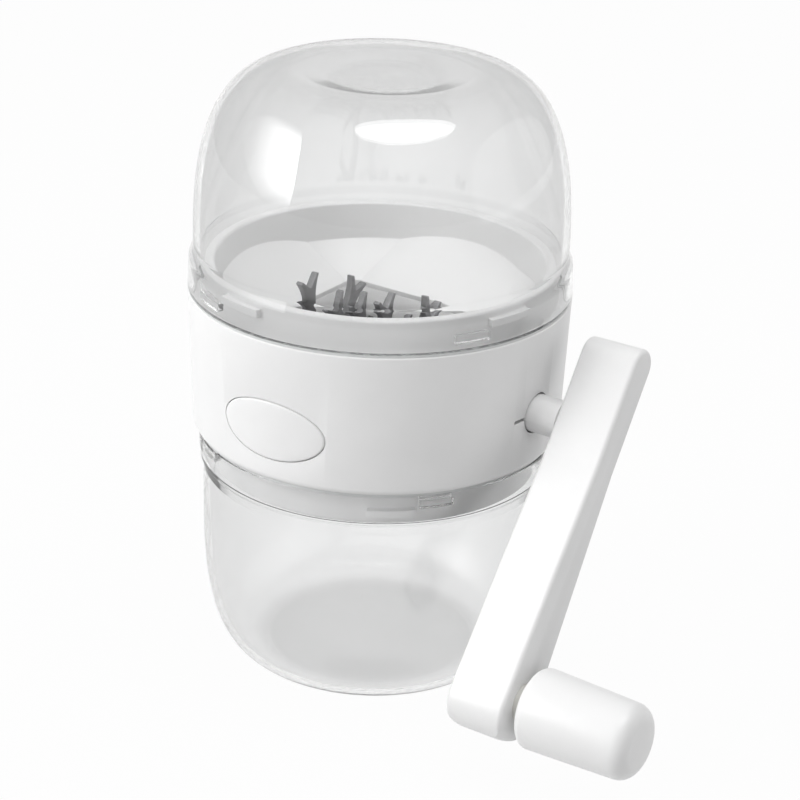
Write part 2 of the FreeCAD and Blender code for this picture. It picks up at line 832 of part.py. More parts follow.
# The arm seen from its broad side, with rounded corners at its foot
def arm_side_form():
    top = axis_height + arm_top
    bottom = axis_height - crank_reach - arm_bottom
    y = -arm_bottom_width
    edges = rounded_path([
        (point(arm_inner_x, y, top), 0),
        (point(arm_inner_x, y, bottom), arm_side_rounding),
        (point(arm_outer_x, y, bottom), arm_side_rounding),
        (point(arm_outer_x, y, top), 0),
    ], True)
    return face_of(edges).extrude(point(0, 2 * arm_bottom_width, 0))


def make_crank_arm():
    form = arm_outline(arm_inner_x, 0).extrude(along * arm_depth)
    rims = [edge for edge in form.Edges if edge.BoundBox.XLength < 1e-6]
    form = form.makeFillet(arm_edge_rounding, rims).common(arm_side_form())
    pocket_depth = arm_depth - arm_face_thickness
    pocket = arm_outline(arm_inner_x - 1, arm_wall).extrude(along * (pocket_depth + 1))
    keep = [rod(arm_inner_x, arm_outer_x - arm_face_thickness, stub_radius)]
    keep.append(rod(arm_inner_x, arm_outer_x - arm_face_thickness, knob_boss_radius, knob_center))
    for index in range(arm_rib_count):
        z = axis_height - crank_reach * (index + 1) / (arm_rib_count + 1)
        keep.append(Part.makeBox(pocket_depth - arm_wall, arm_bottom_width, arm_rib_thickness,
                                 point(arm_inner_x + arm_wall, -arm_bottom_width / 2, z)))
    pocket = pocket.cut(keep)
    stub = rod(stub_end_x, arm_inner_x, stub_radius)
    key_width = key_slot_height - key_clearance
    key = Part.makeBox(key_thickness, key_width, key_radius,
                       point(stub_end_x, -key_width / 2, axis_height - key_radius))
    pin_hole_end_x = drive_pin_end_x + drive_pin_end_gap
    pin_hole = square_bar(stub_end_x - 1, pin_hole_end_x, shaft_square + 2 * press_clearance)
    pin_hole.rotate(axis_point, along, crank_rest_angle)
    stud_hole_start_x = knob_pin_root_x - drive_pin_end_gap
    stud_hole = rod(stud_hole_start_x, arm_outer_x + 1, knob_pin_radius + press_clearance, knob_center)
    arm = form.cut(pocket).fuse([stub, key]).cut([pin_hole, stud_hole]).removeSplitter()
    return at_rest(arm)


def make_drive_pin():
    return square_bar(drive_pin_start_x, drive_pin_end_x, shaft_square)


# A stud with a collar against the arm and a snap head that holds the knob
def make_knob_pin():
    collar_end = arm_outer_x + knob_gap - shoulder_gap
    neck_end = arm_outer_x + knob_gap + knob_pin_reach
    head_end = neck_end + knob_head_length
    pin = turned_along([
        (knob_pin_root_x, 0, 0),
        (knob_pin_root_x, knob_pin_radius, knob_pin_rounding),
        (arm_outer_x, knob_pin_radius, 0),
        (arm_outer_x, knob_pin_collar_radius, 0),
        (collar_end, knob_pin_collar_radius, 0),
        (collar_end, knob_pin_radius, 0),
        (neck_end, knob_pin_radius, 0),
        (neck_end, knob_head_radius, 0),
        (head_end, knob_pin_radius, knob_head_rounding),
        (head_end, 0, 0),
    ], knob_center)
    return at_rest(pin)


def make_knob():
    start = arm_outer_x + knob_gap
    end = start + knob_length
    bore = knob_pin_radius + running_clearance
    form = turned_along([
        (start, 0, 0),
        (start, knob_inner_radius, knob_inner_rounding),
        (end - knob_crown, knob_outer_radius, knob_outer_rounding),
        (end, 0, 0),
    ], knob_center)
    chamber_start = start + knob_pin_reach - knob_head_gap
    chamber_end = start + knob_pin_reach + knob_head_length + knob_head_gap
    tube_outside = bore + knob_tube_wall
    hole = rod(start - 1, chamber_end, bore, knob_center)
    chamber = rod(chamber_start, chamber_end, knob_head_radius + knob_head_gap, knob_center)
    core = turned_along([
        (start - 1, tube_outside, 0),
        (start - 1, knob_inner_radius - knob_wall, 0),
        (end - knob_end_wall, knob_outer_radius - knob_wall, 0),
        (end - knob_end_wall, tube_outside + knob_head_radius - knob_pin_radius, 0),
        (chamber_start - knob_tube_wall, tube_outside + knob_head_radius - knob_pin_radius, 0),
        (chamber_start - knob_tube_wall, tube_outside, 0),
    ], knob_center)
    return at_rest(form.cut([hole, chamber, core]))


def make_screws():
    screws = []
    head_z = collar_plate_z - screw_head_height
    for x, y in screw_places():
        shank = Part.makeCylinder(screw_radius, screw_length, point(x, y, collar_plate_z))
        head = Part.makeCylinder(screw_head_radius, screw_head_height, point(x, y, head_z))
        rim = [edge for edge in head.Edges if abs(edge.BoundBox.ZMax - head_z) < 1e-6]
        head = head.makeFillet(screw_head_rounding, rim)
        cross = []
        for turn in (0, 90):
            bar = Part.makeBox(screw_cross_length, screw_cross_width, screw_head_height / 2,
                               point(-screw_cross_length / 2, -screw_cross_width / 2, head_z))
            bar.rotate(center, up, turn)
            bar.translate(point(x, y, 0))
            cross.append(bar)
        screws.append(shank.fuse(head).cut(cross).removeSplitter())
    return Part.makeCompound(screws)


os.makedirs("parts", exist_ok=True)
save("lower_cup", make_lower_cup())
save("lower_seal", make_seal(lower_mouth_z, lower_mouth_radius))
save("body_shell", make_body_shell())
save("oval_cover", make_oval_cover())
save("hopper", make_hopper())
save("lower_collar", make_collar())
save("blade_chamber", make_chamber())
save("front_comb", make_comb(-1))
save("rear_comb", make_comb(1))
save("end_bush", make_bush(-1, end_journal_radius))
save("drive_bush", make_bush(1, drive_journal_radius))
save("chamber_screws", make_screws())
save("drive_shaft", make_drive_shaft())
save("shaft_clip", make_shaft_clip())
for blade_index in range(blade_count):
    save("star_blade_%d" % (blade_index + 1), make_blade(blade_index))
for spacer_name, spacer in blade_spacers().items():
    save(spacer_name, spacer)
save("drive_pin", make_drive_pin())
save("crank_arm", make_crank_arm())
save("knob_pin", make_knob_pin())
save("crank_knob", make_knob())
save("upper_seal", make_seal(body_top_z, upper_mouth_radius))
save("upper_cup", make_upper_cup())
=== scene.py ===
import json
import math

import bmesh
import bpy
from mathutils import Matrix, Vector


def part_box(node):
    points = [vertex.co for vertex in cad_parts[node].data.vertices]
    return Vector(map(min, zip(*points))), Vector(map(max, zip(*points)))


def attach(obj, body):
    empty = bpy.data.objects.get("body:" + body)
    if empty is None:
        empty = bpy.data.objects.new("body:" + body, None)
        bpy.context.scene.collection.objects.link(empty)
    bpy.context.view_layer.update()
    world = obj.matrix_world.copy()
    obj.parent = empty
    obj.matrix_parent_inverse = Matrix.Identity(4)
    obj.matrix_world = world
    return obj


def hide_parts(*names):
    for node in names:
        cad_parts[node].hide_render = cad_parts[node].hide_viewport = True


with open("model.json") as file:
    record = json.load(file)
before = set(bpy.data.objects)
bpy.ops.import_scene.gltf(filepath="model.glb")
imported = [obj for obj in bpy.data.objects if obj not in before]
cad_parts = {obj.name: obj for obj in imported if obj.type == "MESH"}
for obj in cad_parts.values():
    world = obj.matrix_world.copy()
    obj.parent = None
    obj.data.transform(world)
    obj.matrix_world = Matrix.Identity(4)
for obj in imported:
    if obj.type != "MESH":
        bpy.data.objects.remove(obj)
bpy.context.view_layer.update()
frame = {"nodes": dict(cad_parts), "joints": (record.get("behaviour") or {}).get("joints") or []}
print("frame loaded with", len(frame["nodes"]), "nodes")

# Nut chopper: two clear cups, a white grinding body between them and a side crank.
# Lengths are millimetres in the pieces' dictionaries, and metres in the materials' and the studio's.
mm = 0.001
scene = bpy.context.scene
nodes = frame["nodes"]


def boxOf(node):
    low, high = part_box(node)
    return low / mm, high / mm


def hingePlace(name):
    joint = next(joint for joint in frame["joints"] if joint["name"] == name)
    return [value / mm for value in joint["pos_m"]]


crankZ = hingePlace("crank_spin")[2]
knobY, knobZ = hingePlace("knob_spin")[1:]


# Paths and meshes

mergeDistance = 1e-7  # metres
edgeClearance = 0.25  # degrees that the even columns keep from a block's edge
edgeStep = 1e-7  # degrees between the two columns of such an edge


def roundedPath(corners, closed=True, steps=6):
    # each corner is (across, up, radius), and a radius puts an arc there
    points = []
    for index, (across, rise, radius) in enumerate(corners):
        here = Vector((across, rise))
        if radius == 0 or (not closed and index in (0, len(corners) - 1)):
            points.append(here)
            continue
        toLast = (Vector(corners[index - 1][:2]) - here).normalized()
        toNext = (Vector(corners[(index + 1) % len(corners)][:2]) - here).normalized()
        half = toLast.angle(toNext) / 2
        middle = here + (toLast + toNext).normalized() * radius / math.sin(half)
        first = here + toLast * radius / math.tan(half) - middle
        turn = first.angle_signed(here + toNext * radius / math.tan(half) - middle)
        for step in range(steps + 1):
            points.append(middle + Matrix.Rotation(-turn * step / steps, 2) @ first)
    return points


def circleRing(radius, z, raised=None):
    # raised is the radius over the stretches where a lug or rib stands
    def place(heading, onBlock):
        reach = raised if onBlock and raised is not None else radius
        angle = math.radians(heading)
        return Vector((reach * math.cos(angle), reach * math.sin(angle), z))
    return place


def turnedRings(path):
    return [circleRing(point[0], point[1]) for point in path]


def blockRings(wall, reach, first, last):
    # four rings that step out to a lug or rib at the first height, and back at the last
    return [circleRing(wall, first), circleRing(wall, first, reach),
            circleRing(wall, last, reach), circleRing(wall, last)]


def quarterTurns(heading):
    return [heading + 90 * index for index in range(4)]


def turnBetween(heading, other):
    return abs((heading - other + 180) % 360 - 180)


def isOnBlock(heading, blocks, width):
    return any(turnBetween(heading, block) < width / 2 for block in blocks)


def columnHeadings(count, blocks=(), width=0.0):
    # evenly spaced columns, with a pair of columns at each edge of each block
    edges = [((heading + side * width / 2) % 360, side) for heading in blocks for side in (-1, 1)]
    columns = []
    for index in range(count):
        heading = 360 * index / count
        if all(turnBetween(heading, edge) > edgeClearance for edge, side in edges):
            columns.append((heading, isOnBlock(heading, blocks, width)))
    for edge, side in edges:
        columns += [(edge, side > 0), (edge + edgeStep, side < 0)]
    return sorted(columns)


def newObject(name, data):
    piece = bpy.data.objects.new(name, data)
    scene.collection.objects.link(piece)
    return piece


def meshObject(name, work):
    mesh = bpy.data.meshes.new(name)
    work.to_mesh(mesh)
    work.free()
    return newObject(name, mesh)


def skinMesh(name, columns, rowsClose=True):
    # a skin over columns of places, the last column joined to the first, and so the rows where they close
    work = bmesh.new()
    grid = [[work.verts.new(place * mm) for place in column] for column in columns]
    rows = len(grid[0])
    for index, column in enumerate(grid):
        following = grid[(index + 1) % len(grid)]
        for row in range(rows if rowsClose else rows - 1):
            nextRow = (row + 1) % rows
            work.faces.new((column[row], following[row], following[nextRow], column[nextRow]))
    bmesh.ops.remove_doubles(work, verts=work.verts, dist=mergeDistance)
    bmesh.ops.dissolve_degenerate(work, edges=work.edges, dist=mergeDistance / 10)
    bmesh.ops.recalc_face_normals(work, faces=work.faces)
    return meshObject(name, work)


def ringMesh(name, rings, columns):
    # a closed skin over rings of places, each ring a function of the heading
    return skinMesh(name, [[ring(heading, onBlock) for ring in rings] for heading, onBlock in columns])


def prism(name, outline, depth, place):
    # an outline extruded along its third direction; place turns (across, up, out) into the part's frame
    work = bmesh.new()
    near = [work.verts.new(place(point[0], point[1], 0) * mm) for point in outline]
    far = [work.verts.new(place(point[0], point[1], depth) * mm) for point in outline]
    work.faces.new(near)
    work.faces.new(list(reversed(far)))
    for index in range(len(outline)):
        following = (index + 1) % len(outline)
        work.faces.new((near[index], far[index], far[following], near[following]))
    bmesh.ops.recalc_face_normals(work, faces=work.faces)
    return meshObject(name, work)


def flatCurve(name, outlines):
    # a flat curve of closed outlines, for a Geometry Nodes tree to fill
    data = bpy.data.curves.new(name, "CURVE")
    data.dimensions = "2D"
    for outline in outlines:
        spline = data.splines.new("POLY")
        spline.points.add(len(outline) - 1)
        for target, point in zip(spline.points, outline):
            target.co = (point[0] * mm, point[1] * mm, 0, 1)
        spline.use_cyclic_u = True
    return newObject(name, data)


def evaluatedMesh(piece):
    depsgraph = bpy.context.evaluated_depsgraph_get()
    return bpy.data.meshes.new_from_object(piece.evaluated_get(depsgraph))


def makePlain(piece):
    # the modifiers' result becomes the piece's own mesh
    result = evaluatedMesh(piece)
    piece.modifiers.clear()
    piece.data = result
    return piece


def rounded(piece, width, segments=2, angle=50):
    bevel = piece.modifiers.new("edgeRounding", "BEVEL")
    bevel.width = width * mm
    bevel.segments = segments
    bevel.limit_method = "ANGLE"
    bevel.angle_limit = math.radians(angle)
    bevel.use_clamp_overlap = True
    return makePlain(piece)


def cutAway(piece, cutters):
    for cutter in cutters:
        cut = piece.modifiers.new("cut", "BOOLEAN")
        cut.operation = "DIFFERENCE"
        cut.solver = "EXACT"
        cut.object = cutter
    makePlain(piece)
    for cutter in cutters:
        bpy.data.objects.remove(cutter)


def joined(name, pieces):
    # several pieces of one body as one mesh
    work = bmesh.new()
    for piece in pieces:
        work.from_mesh(piece.data)
        bpy.data.objects.remove(piece)
    return meshObject(name, work)


def mergedCopy(name, node, flatWithin=0.6):
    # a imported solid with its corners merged, and its flat faces made one within an angle
    piece = newObject(name, nodes[node].data.copy())
    work = bmesh.new()
    work.from_mesh(piece.data)
    bmesh.ops.remove_doubles(work, verts=work.verts, dist=mergeDistance)
    bmesh.ops.dissolve_limit(work, angle_limit=math.radians(flatWithin), verts=work.verts, edges=work.edges)
    work.to_mesh(piece.data)
    work.free()
    if "custom_normal" in piece.data.attributes:
        piece.data.attributes.remove(piece.data.attributes["custom_normal"])
    return piece


def finish(piece, material, body, slot, node, sharp=32):
    # the piece's material and smooth faces, the body it rides on, and the node that it stands for, which is
    # hidden; its slot is not used
    piece.data.materials.clear()
    piece.data.materials.append(material)
    piece.data.shade_smooth()
    piece.data.set_sharp_from_angle(angle=math.radians(sharp))
    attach(piece, body)
    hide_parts(node)
    print("piece", piece.name, "with", len(piece.data.polygons), "faces")


# Nodes that materials, shader groups and the studio share

def feed(tree, node, inputs):
    # each input takes a plain value or the output of another node
    for label, value in inputs.items():
        if isinstance(value, bpy.types.NodeSocket):
            tree.links.new(value, node.inputs[label])
        else:
            node.inputs[label].default_value = value


def addNode(tree, kind, inputs=None, **settings):
    node = tree.nodes.new(kind)
    for key, value in settings.items():
        setattr(node, key, value)
    feed(tree, node, inputs or {})
    return node


def mathNode(tree, operation, *values, clamp=False):
    node = addNode(tree, "ShaderNodeMath", dict(enumerate(values)), operation=operation, use_clamp=clamp)
    return node.outputs[0]


def objectPlace(tree):
    return addNode(tree, "ShaderNodeTexCoord").outputs["Object"]


def noise(tree, place, scale, detail, roughness=0.5):
    inputs = {"Vector": place, "Scale": scale, "Detail": detail, "Roughness": roughness}
    return addNode(tree, "ShaderNodeTexNoise", inputs).outputs["Fac"]


def eased(tree, value, fromSpan, toSpan=(0.0, 1.0), curve="SMOOTHSTEP"):
    # a value that runs through one span, as a soft step through the other
    inputs = {"Value": value, "From Min": fromSpan[0], "From Max": fromSpan[1],
              "To Min": toSpan[0], "To Max": toSpan[1]}
    return addNode(tree, "ShaderNodeMapRange", inputs, interpolation_type=curve).outputs["Result"]


def tintRamp(tree, source, dark, pale, stops=(0.3, 0.7)):
    ramp = addNode(tree, "ShaderNodeValToRGB", {"Fac": source})
    for stop, place, tint in zip(ramp.color_ramp.elements, stops, (dark, pale)):
        stop.position = place
        stop.color = (*tint, 1)
    return ramp.outputs["Color"]


def tinted(tree, color, share, tint):
    # a colour multiplied by a tint where a share says so
    inputs = {0: share, 6: color, 7: (*tint, 1)}  # the mix node's sockets for colours
    return addNode(tree, "ShaderNodeMix", inputs, data_type="RGBA", blend_type="MULTIPLY").outputs[2]


def mixSurface(tree, share, first, second, output="Material Output"):
    mix = addNode(tree, "ShaderNodeMixShader", {"Fac": share, 1: first, 2: second})
    feed(tree, tree.nodes[output], {"Surface": mix.outputs["Shader"]})


# Shader groups that several materials share

def groupTree(name, inputs, outputs):
    tree = bpy.data.node_groups.new(name, "ShaderNodeTree")
    for label, value in inputs.items():
        socket = tree.interface.new_socket(label, in_out="INPUT", socket_type="NodeSocketFloat")
        socket.default_value = value
    for label, kind in outputs.items():
        tree.interface.new_socket(label, in_out="OUTPUT", socket_type=kind)
    return tree, tree.nodes.new("NodeGroupInput").outputs, tree.nodes.new("NodeGroupOutput")


def variedGloss(tree, given, pattern):
    centred = mathNode(tree, "SUBTRACT", pattern, 0.5)
    return mathNode(tree, "MULTIPLY_ADD", centred, given["Gloss Spread"], given["Gloss"])


def faintBump(tree, given, pattern, distance):
    inputs = {"Strength": given["Bump"], "Distance": distance, "Height": pattern}
    return addNode(tree, "ShaderNodeBump", inputs).outputs["Normal"]


def buildMouldedSkin():
    # fine moulded grain: a slow drift of tone, a gloss that varies a little, and a faint bump
    tree, given, result = groupTree(
        "mouldedSkin",
        {"Drift Scale": 45.0, "Grain Scale": 2600.0, "Gloss": 0.3, "Gloss Spread": 0.08, "Bump": 0.02},
        {"Drift": "NodeSocketFloat", "Roughness": "NodeSocketFloat", "Normal": "NodeSocketVector"})
    place = objectPlace(tree)
    drift = noise(tree, place, given["Drift Scale"], detail=3.0, roughness=0.55)
    grain = noise(tree, place, given["Grain Scale"], detail=4.0, roughness=0.6)
    feed(tree, result, {
        "Drift": drift, "Roughness": variedGloss(tree, given, drift),
        "Normal": faintBump(tree, given, grain, distance=0.0002)})
    return tree


def buildBrushedMetal():
    # short drawn lines along one direction, for roughness, tone and bump
    tree, given, result = groupTree(
        "brushedMetal",
        {"Line Scale": 900.0, "Gloss": 0.3, "Gloss Spread": 0.2, "Bump": 0.08},
        {"Tone": "NodeSocketFloat", "Roughness": "NodeSocketFloat", "Normal": "NodeSocketVector"})
    stretch = addNode(tree, "ShaderNodeMapping", {"Vector": objectPlace(tree), "Scale": (1.0, 0.12, 1.0)})
    lines = noise(tree, stretch.outputs["Vector"], given["Line Scale"], detail=5.0, roughness=0.65)
    feed(tree, result, {
        "Tone": lines, "Roughness": variedGloss(tree, given, lines),
        "Normal": faintBump(tree, given, lines, distance=0.0001)})
    return tree


def buildLevelMask():
    # one near a height and inside a radius, for a cup's flat end or the shoulder of its skirt
    tree, given, result = groupTree(
        "levelMask", {"Height": 0.0, "Reach": 0.006, "Radius": 0.03, "Softness": 0.004},
        {"Mask": "NodeSocketFloat"})
    parts = addNode(tree, "ShaderNodeSeparateXYZ", {"Vector": objectPlace(tree)}).outputs
    flat = addNode(tree, "ShaderNodeCombineXYZ", {"X": parts["X"], "Y": parts["Y"]})
    length = addNode(tree, "ShaderNodeVectorMath", {0: flat.outputs["Vector"]}, operation="LENGTH")
    inward = mathNode(tree, "SUBTRACT", given["Radius"], length.outputs["Value"])
    around = mathNode(tree, "DIVIDE", inward, given["Softness"], clamp=True)
    offLevel = mathNode(tree, "ABSOLUTE", mathNode(tree, "SUBTRACT", parts["Z"], given["Height"]))
    level = mathNode(tree, "LESS_THAN", offLevel, given["Reach"])
    feed(tree, result, {"Mask": mathNode(tree, "MULTIPLY", around, level)})
    return tree


mouldedSkin = buildMouldedSkin()
brushedMetal = buildBrushedMetal()
levelMask = buildLevelMask()


# Materials

def newMaterial(name):
    material = bpy.data.materials.new(name)
    material.use_nodes = True
    tree = material.node_tree
    return material, tree, tree.nodes["Principled BSDF"]


def placeGroup(tree, group, values):
    return addNode(tree, "ShaderNodeGroup", values, node_tree=group).outputs


def grey(tone):
    return (tone, tone, tone)


def mouldedPlastic(name, look):
    material, tree, shader = newMaterial(name)
    skin = placeGroup(tree, mouldedSkin, look["skin"])
    feed(tree, shader, {
        "Base Color": tintRamp(tree, skin["Drift"], look["dark"], look["pale"]),
        "Roughness": skin["Roughness"], "Normal": skin["Normal"], "IOR": look["ior"]})
    return material


def clearPlastic(name, look):
    # clear resin, with painted shade that greys it where the sight runs along the wall and over its flat end;
    # lamps shine through it as through a thin wall
    material, tree, shader = newMaterial(name)
    skin = placeGroup(tree, mouldedSkin, look["skin"])
    dish = placeGroup(tree, levelMask, look["dish"])["Mask"]
    shoulder = placeGroup(tree, levelMask, look["shoulder"])["Mask"]
    edge = addNode(tree, "ShaderNodeLayerWeight", {"Blend": look["edgeBlend"]}).outputs["Facing"]
    edgeShare = mathNode(tree, "MULTIPLY_ADD", dish, -look["dishClearing"], 1.0)
    color = tintRamp(tree, skin["Drift"], look["dark"], look["pale"])
    # painted shade where the sight runs along the wall
    color = tinted(tree, color, mathNode(tree, "MULTIPLY", edge, edgeShare), look["edgePaintedShade"])
    # painted shade: a grey disc over the cup's flat end
    color = tinted(tree, color, dish, look["dishPaintedShade"])
    facing = addNode(tree, "ShaderNodeLayerWeight", {"Blend": 0.5}).outputs["Facing"]
    gloss = eased(tree, facing, look["glossFade"], (look["gloss"], look["edgeGloss"]))
    kept = mathNode(tree, "MULTIPLY_ADD", shoulder, -look["shoulderDulling"], 1.0)
    feed(tree, shader, {
        "Base Color": color, "Roughness": skin["Roughness"], "Normal": skin["Normal"], "IOR": look["ior"],
        "Transmission Weight": 1.0, "Coat Weight": mathNode(tree, "MULTIPLY", gloss, kept),
        "Coat Roughness": look["glossRoughness"], "Coat IOR": look["glossIor"]})
    through = addNode(tree, "ShaderNodeBsdfTransparent", {"Color": (*look["shade"], 1)})
    rays = addNode(tree, "ShaderNodeLightPath")
    mixSurface(tree, rays.outputs["Is Shadow Ray"], shader.outputs["BSDF"], through.outputs["BSDF"])
    return material


def brushedSteel(name, look):
    material, tree, shader = newMaterial(name)
    lines = placeGroup(tree, brushedMetal, look["lines"])
    feed(tree, shader, {
        "Base Color": tintRamp(tree, lines["Tone"], look["dark"], look["pale"]),
        "Roughness": lines["Roughness"], "Normal": lines["Normal"], "Metallic": 1.0})
    return material


whiteGloss = mouldedPlastic("whiteGloss", {
    "dark": grey(0.80), "pale": grey(0.83), "ior": 1.5,
    "skin": {"Gloss": 0.34, "Gloss Spread": 0.10, "Bump": 0.03}})
knobWhite = mouldedPlastic("knobWhite", {
    "dark": grey(0.80), "pale": grey(0.83), "ior": 1.5,
    "skin": {"Gloss": 0.32, "Gloss Spread": 0.10, "Bump": 0.04}})
# a brighter copy of the white plastic: painted light for the lower collar and the blade chamber, which lie in
# shade inside the body
innerPaintedLightWhite = mouldedPlastic("innerPaintedLightWhite", {
    "dark": grey(0.92), "pale": grey(0.94), "ior": 1.5,
    "skin": {"Gloss": 0.36, "Gloss Spread": 0.10, "Bump": 0.03}})
bearingWhite = mouldedPlastic("bearingWhite", {
    "dark": (0.62, 0.61, 0.58), "pale": (0.68, 0.67, 0.64), "ior": 1.48,
    "skin": {"Gloss": 0.38, "Gloss Spread": 0.12, "Bump": 0.05}})
sealSilicone = mouldedPlastic("sealSilicone", {
    "dark": (0.62, 0.63, 0.63), "pale": (0.70, 0.71, 0.71), "ior": 1.41,
    "skin": {"Gloss": 0.5, "Gloss Spread": 0.12, "Bump": 0.05}})

upperMouthZ, upperEndZ = (corner.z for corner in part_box("upper_cup"))
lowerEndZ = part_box("lower_cup")[0].z
upperClear = {
    "dark": (0.92, 0.922, 0.922), "pale": (0.95, 0.952, 0.952), "shade": grey(0.87), "ior": 1.2,
    "gloss": 1.0, "edgeGloss": 0.05, "glossFade": (0.45, 0.95), "glossRoughness": 0.02, "glossIor": 1.58,
    "edgeBlend": 0.45, "edgePaintedShade": grey(0.68),
    "skin": {"Gloss": 0.02, "Gloss Spread": 0.03, "Drift Scale": 30.0, "Grain Scale": 260.0, "Bump": 0.01},
    "dish": {"Height": upperEndZ - 0.0006, "Reach": 0.006, "Radius": 0.029, "Softness": 0.004},
    "dishPaintedShade": grey(0.98), "dishClearing": 0.45,
    "shoulder": {"Height": upperMouthZ + 0.0104, "Reach": 0.003, "Radius": 0.056, "Softness": 0.0005},
    "shoulderDulling": 0.85}
lowerClear = dict(
    upperClear, dark=(0.93, 0.932, 0.932), pale=(0.96, 0.962, 0.962), shade=grey(0.97),
    glossRoughness=0.2, edgePaintedShade=grey(0.78), dishPaintedShade=grey(0.78), dishClearing=0.0, shoulderDulling=0.0,
    dish={"Height": lowerEndZ + 0.001, "Reach": 0.007, "Radius": 0.036, "Softness": 0.006})
upperCupClear = clearPlastic("upperCupClear", upperClear)
lowerCupClear = clearPlastic("lowerCupClear", lowerClear)

bladeSteel = brushedSteel("bladeSteel", {
    "dark": (0.17, 0.17, 0.174), "pale": (0.25, 0.25, 0.255),
    "lines": {"Line Scale": 900.0, "Gloss": 0.5, "Gloss Spread": 0.25}})
shaftSteel = brushedSteel("shaftSteel", {
    "dark": (0.46, 0.46, 0.47), "pale": (0.60, 0.60, 0.61),
    "lines": {"Line Scale": 1400.0, "Gloss": 0.26, "Gloss Spread": 0.2}})
print("materials built")


# Clear cups, each with four inner lugs

def shoulderPath(wallRadius, flatRadius, start, end, power, steps=30):
    # a rounded shoulder from the upright wall to the flat end, on a squared-off ellipse
    points = []
    for step in range(1, steps):
        turn = math.pi / 2 * step / steps
        out = math.cos(turn) ** (2 / power)
        rise = math.sin(turn) ** (2 / power)
        points.append(Vector((flatRadius + (wallRadius - flatRadius) * out, start + (end - start) * rise)))
    return points


def cupOutside(cup, radius, height):
    # from the mouth's rim over the skirt's step and the shoulder to the middle of the dished end
    dome = radius - cup["domeStep"]
    stepTop = cup["skirtHeight"] + cup["stepHeight"]
    stepRounding = cup["stepRounding"] * cup["stepHeight"]
    dishEdge = cup["endRadius"] - cup["dishRim"]
    path = roundedPath([
        (radius, 0, 0), (radius - cup["draft"], cup["skirtHeight"], stepRounding),
        (dome, stepTop, stepRounding), (dome, cup["domeStart"], 0)], closed=False, steps=5)
    path += shoulderPath(dome, cup["endRadius"], cup["domeStart"], height, cup["power"])
    return path + roundedPath([
        (cup["endRadius"], height, 0), (dishEdge, height, cup["rimRounding"]),
        (dishEdge - cup["dishSlope"], height - cup["dishDepth"], cup["dishRounding"]),
        (0, height - cup["dishDepth"], 0)], closed=False, steps=8)


def cupInside(cup, radius, height):
    # back from the middle of the end to the rim, with a small lip where the skirt's inner step starts
    wall = radius - cup["domeStep"] - cup["wall"]
    skirt = radius - cup["skirtWall"]
    floor = height - cup["wall"]
    innerEdge = cup["endRadius"] - cup["innerRim"]
    stepRounding = cup["stepRounding"] * cup["stepHeight"] / 2
    path = roundedPath([
        (0, floor - cup["innerDepth"], 0),
        (innerEdge - cup["innerSlope"], floor - cup["innerDepth"], cup["dishRounding"]),
        (innerEdge, floor, cup["rimRounding"]), (cup["endRadius"], floor, 0)], closed=False, steps=8)
    path += reversed(shoulderPath(wall, cup["endRadius"], cup["domeStart"], floor, cup["power"]))
    return path + roundedPath([
        (wall, cup["domeStart"], 0), (wall, cup["skirtHeight"] + cup["innerStep"], stepRounding),
        (skirt - cup["lip"][0], cup["skirtHeight"] + cup["lip"][1], 0),
        (skirt, cup["skirtHeight"], 0)], closed=False, steps=5)


def makeCup(name, node, body, sense, cup, material):
    # a sense of one has its end up, and of minus one its end down
    low, high = boxOf(node)
    mouth = low.z if sense > 0 else high.z
    radius, height = high.x, high.z - low.z
    lugs = cup["lugs"]
    lugLow = mouth + sense * lugs["fromMouth"]
    lugHigh = lugLow + sense * lugs["height"]
    skirt = radius - cup["skirtWall"]
    path = cupOutside(cup, radius, height) + cupInside(cup, radius, height)
    rings = turnedRings([(point[0], mouth + sense * point[1]) for point in path])
    rings += blockRings(skirt, skirt - lugs["depth"], lugHigh, lugLow)
    rings += turnedRings([(skirt, mouth)])
    columns = columnHeadings(cup["columns"], quarterTurns(lugs["heading"]), lugs["width"])
    piece = ringMesh(name, rings, columns)
    rounded(piece, cup["edge"], angle=40)
    finish(piece, material, body, "clear_plastic", node)


# stepRounding is a share of the step's height, and a higher power squares the shoulder
upperCup = {
    "columns": 192, "domeStep": 1.6, "wall": 2.0, "skirtWall": 2.2, "draft": 0.4, "skirtHeight": 8.8,
    "stepHeight": 3.0, "stepRounding": 1.2, "innerStep": 3.0, "lip": (0.4, 0.85),
    "domeStart": 13.0, "power": 2.56, "endRadius": 27.7, "edge": 0.25,
    "dishRim": 0.4, "dishSlope": 18.0, "dishDepth": 0.63,
    "innerRim": 3.7, "innerSlope": 8.0, "innerDepth": 0.61, "rimRounding": 20.0, "dishRounding": 80.0,
    "lugs": {"fromMouth": 1.5, "height": 2.2, "depth": 1.8, "width": 11.4, "heading": -27.1}}
lowerCup = dict(
    upperCup, domeStep=1.3, skirtHeight=8.6, stepHeight=1.2, stepRounding=0.15, innerStep=4.5,
    lip=(0.4, 0.35), domeStart=23.8, power=2.75, endRadius=31.1, dishRim=2.0, dishSlope=12.0, dishDepth=1.4,
    innerRim=2.0, innerSlope=12.0, innerDepth=1.4, rimRounding=30.0,
    lugs={"fromMouth": 2.5, "height": 2.2, "depth": 1.8, "width": 11.4, "heading": -35.5})
makeCup("upperCup", "upper_cup", "covering_cup", 1, upperCup, upperCupClear)
makeCup("lowerCup", "lower_cup", "receiving_cup", -1, lowerCup, lowerCupClear)


# White body shell, with its oval cover, crank hole and key slot

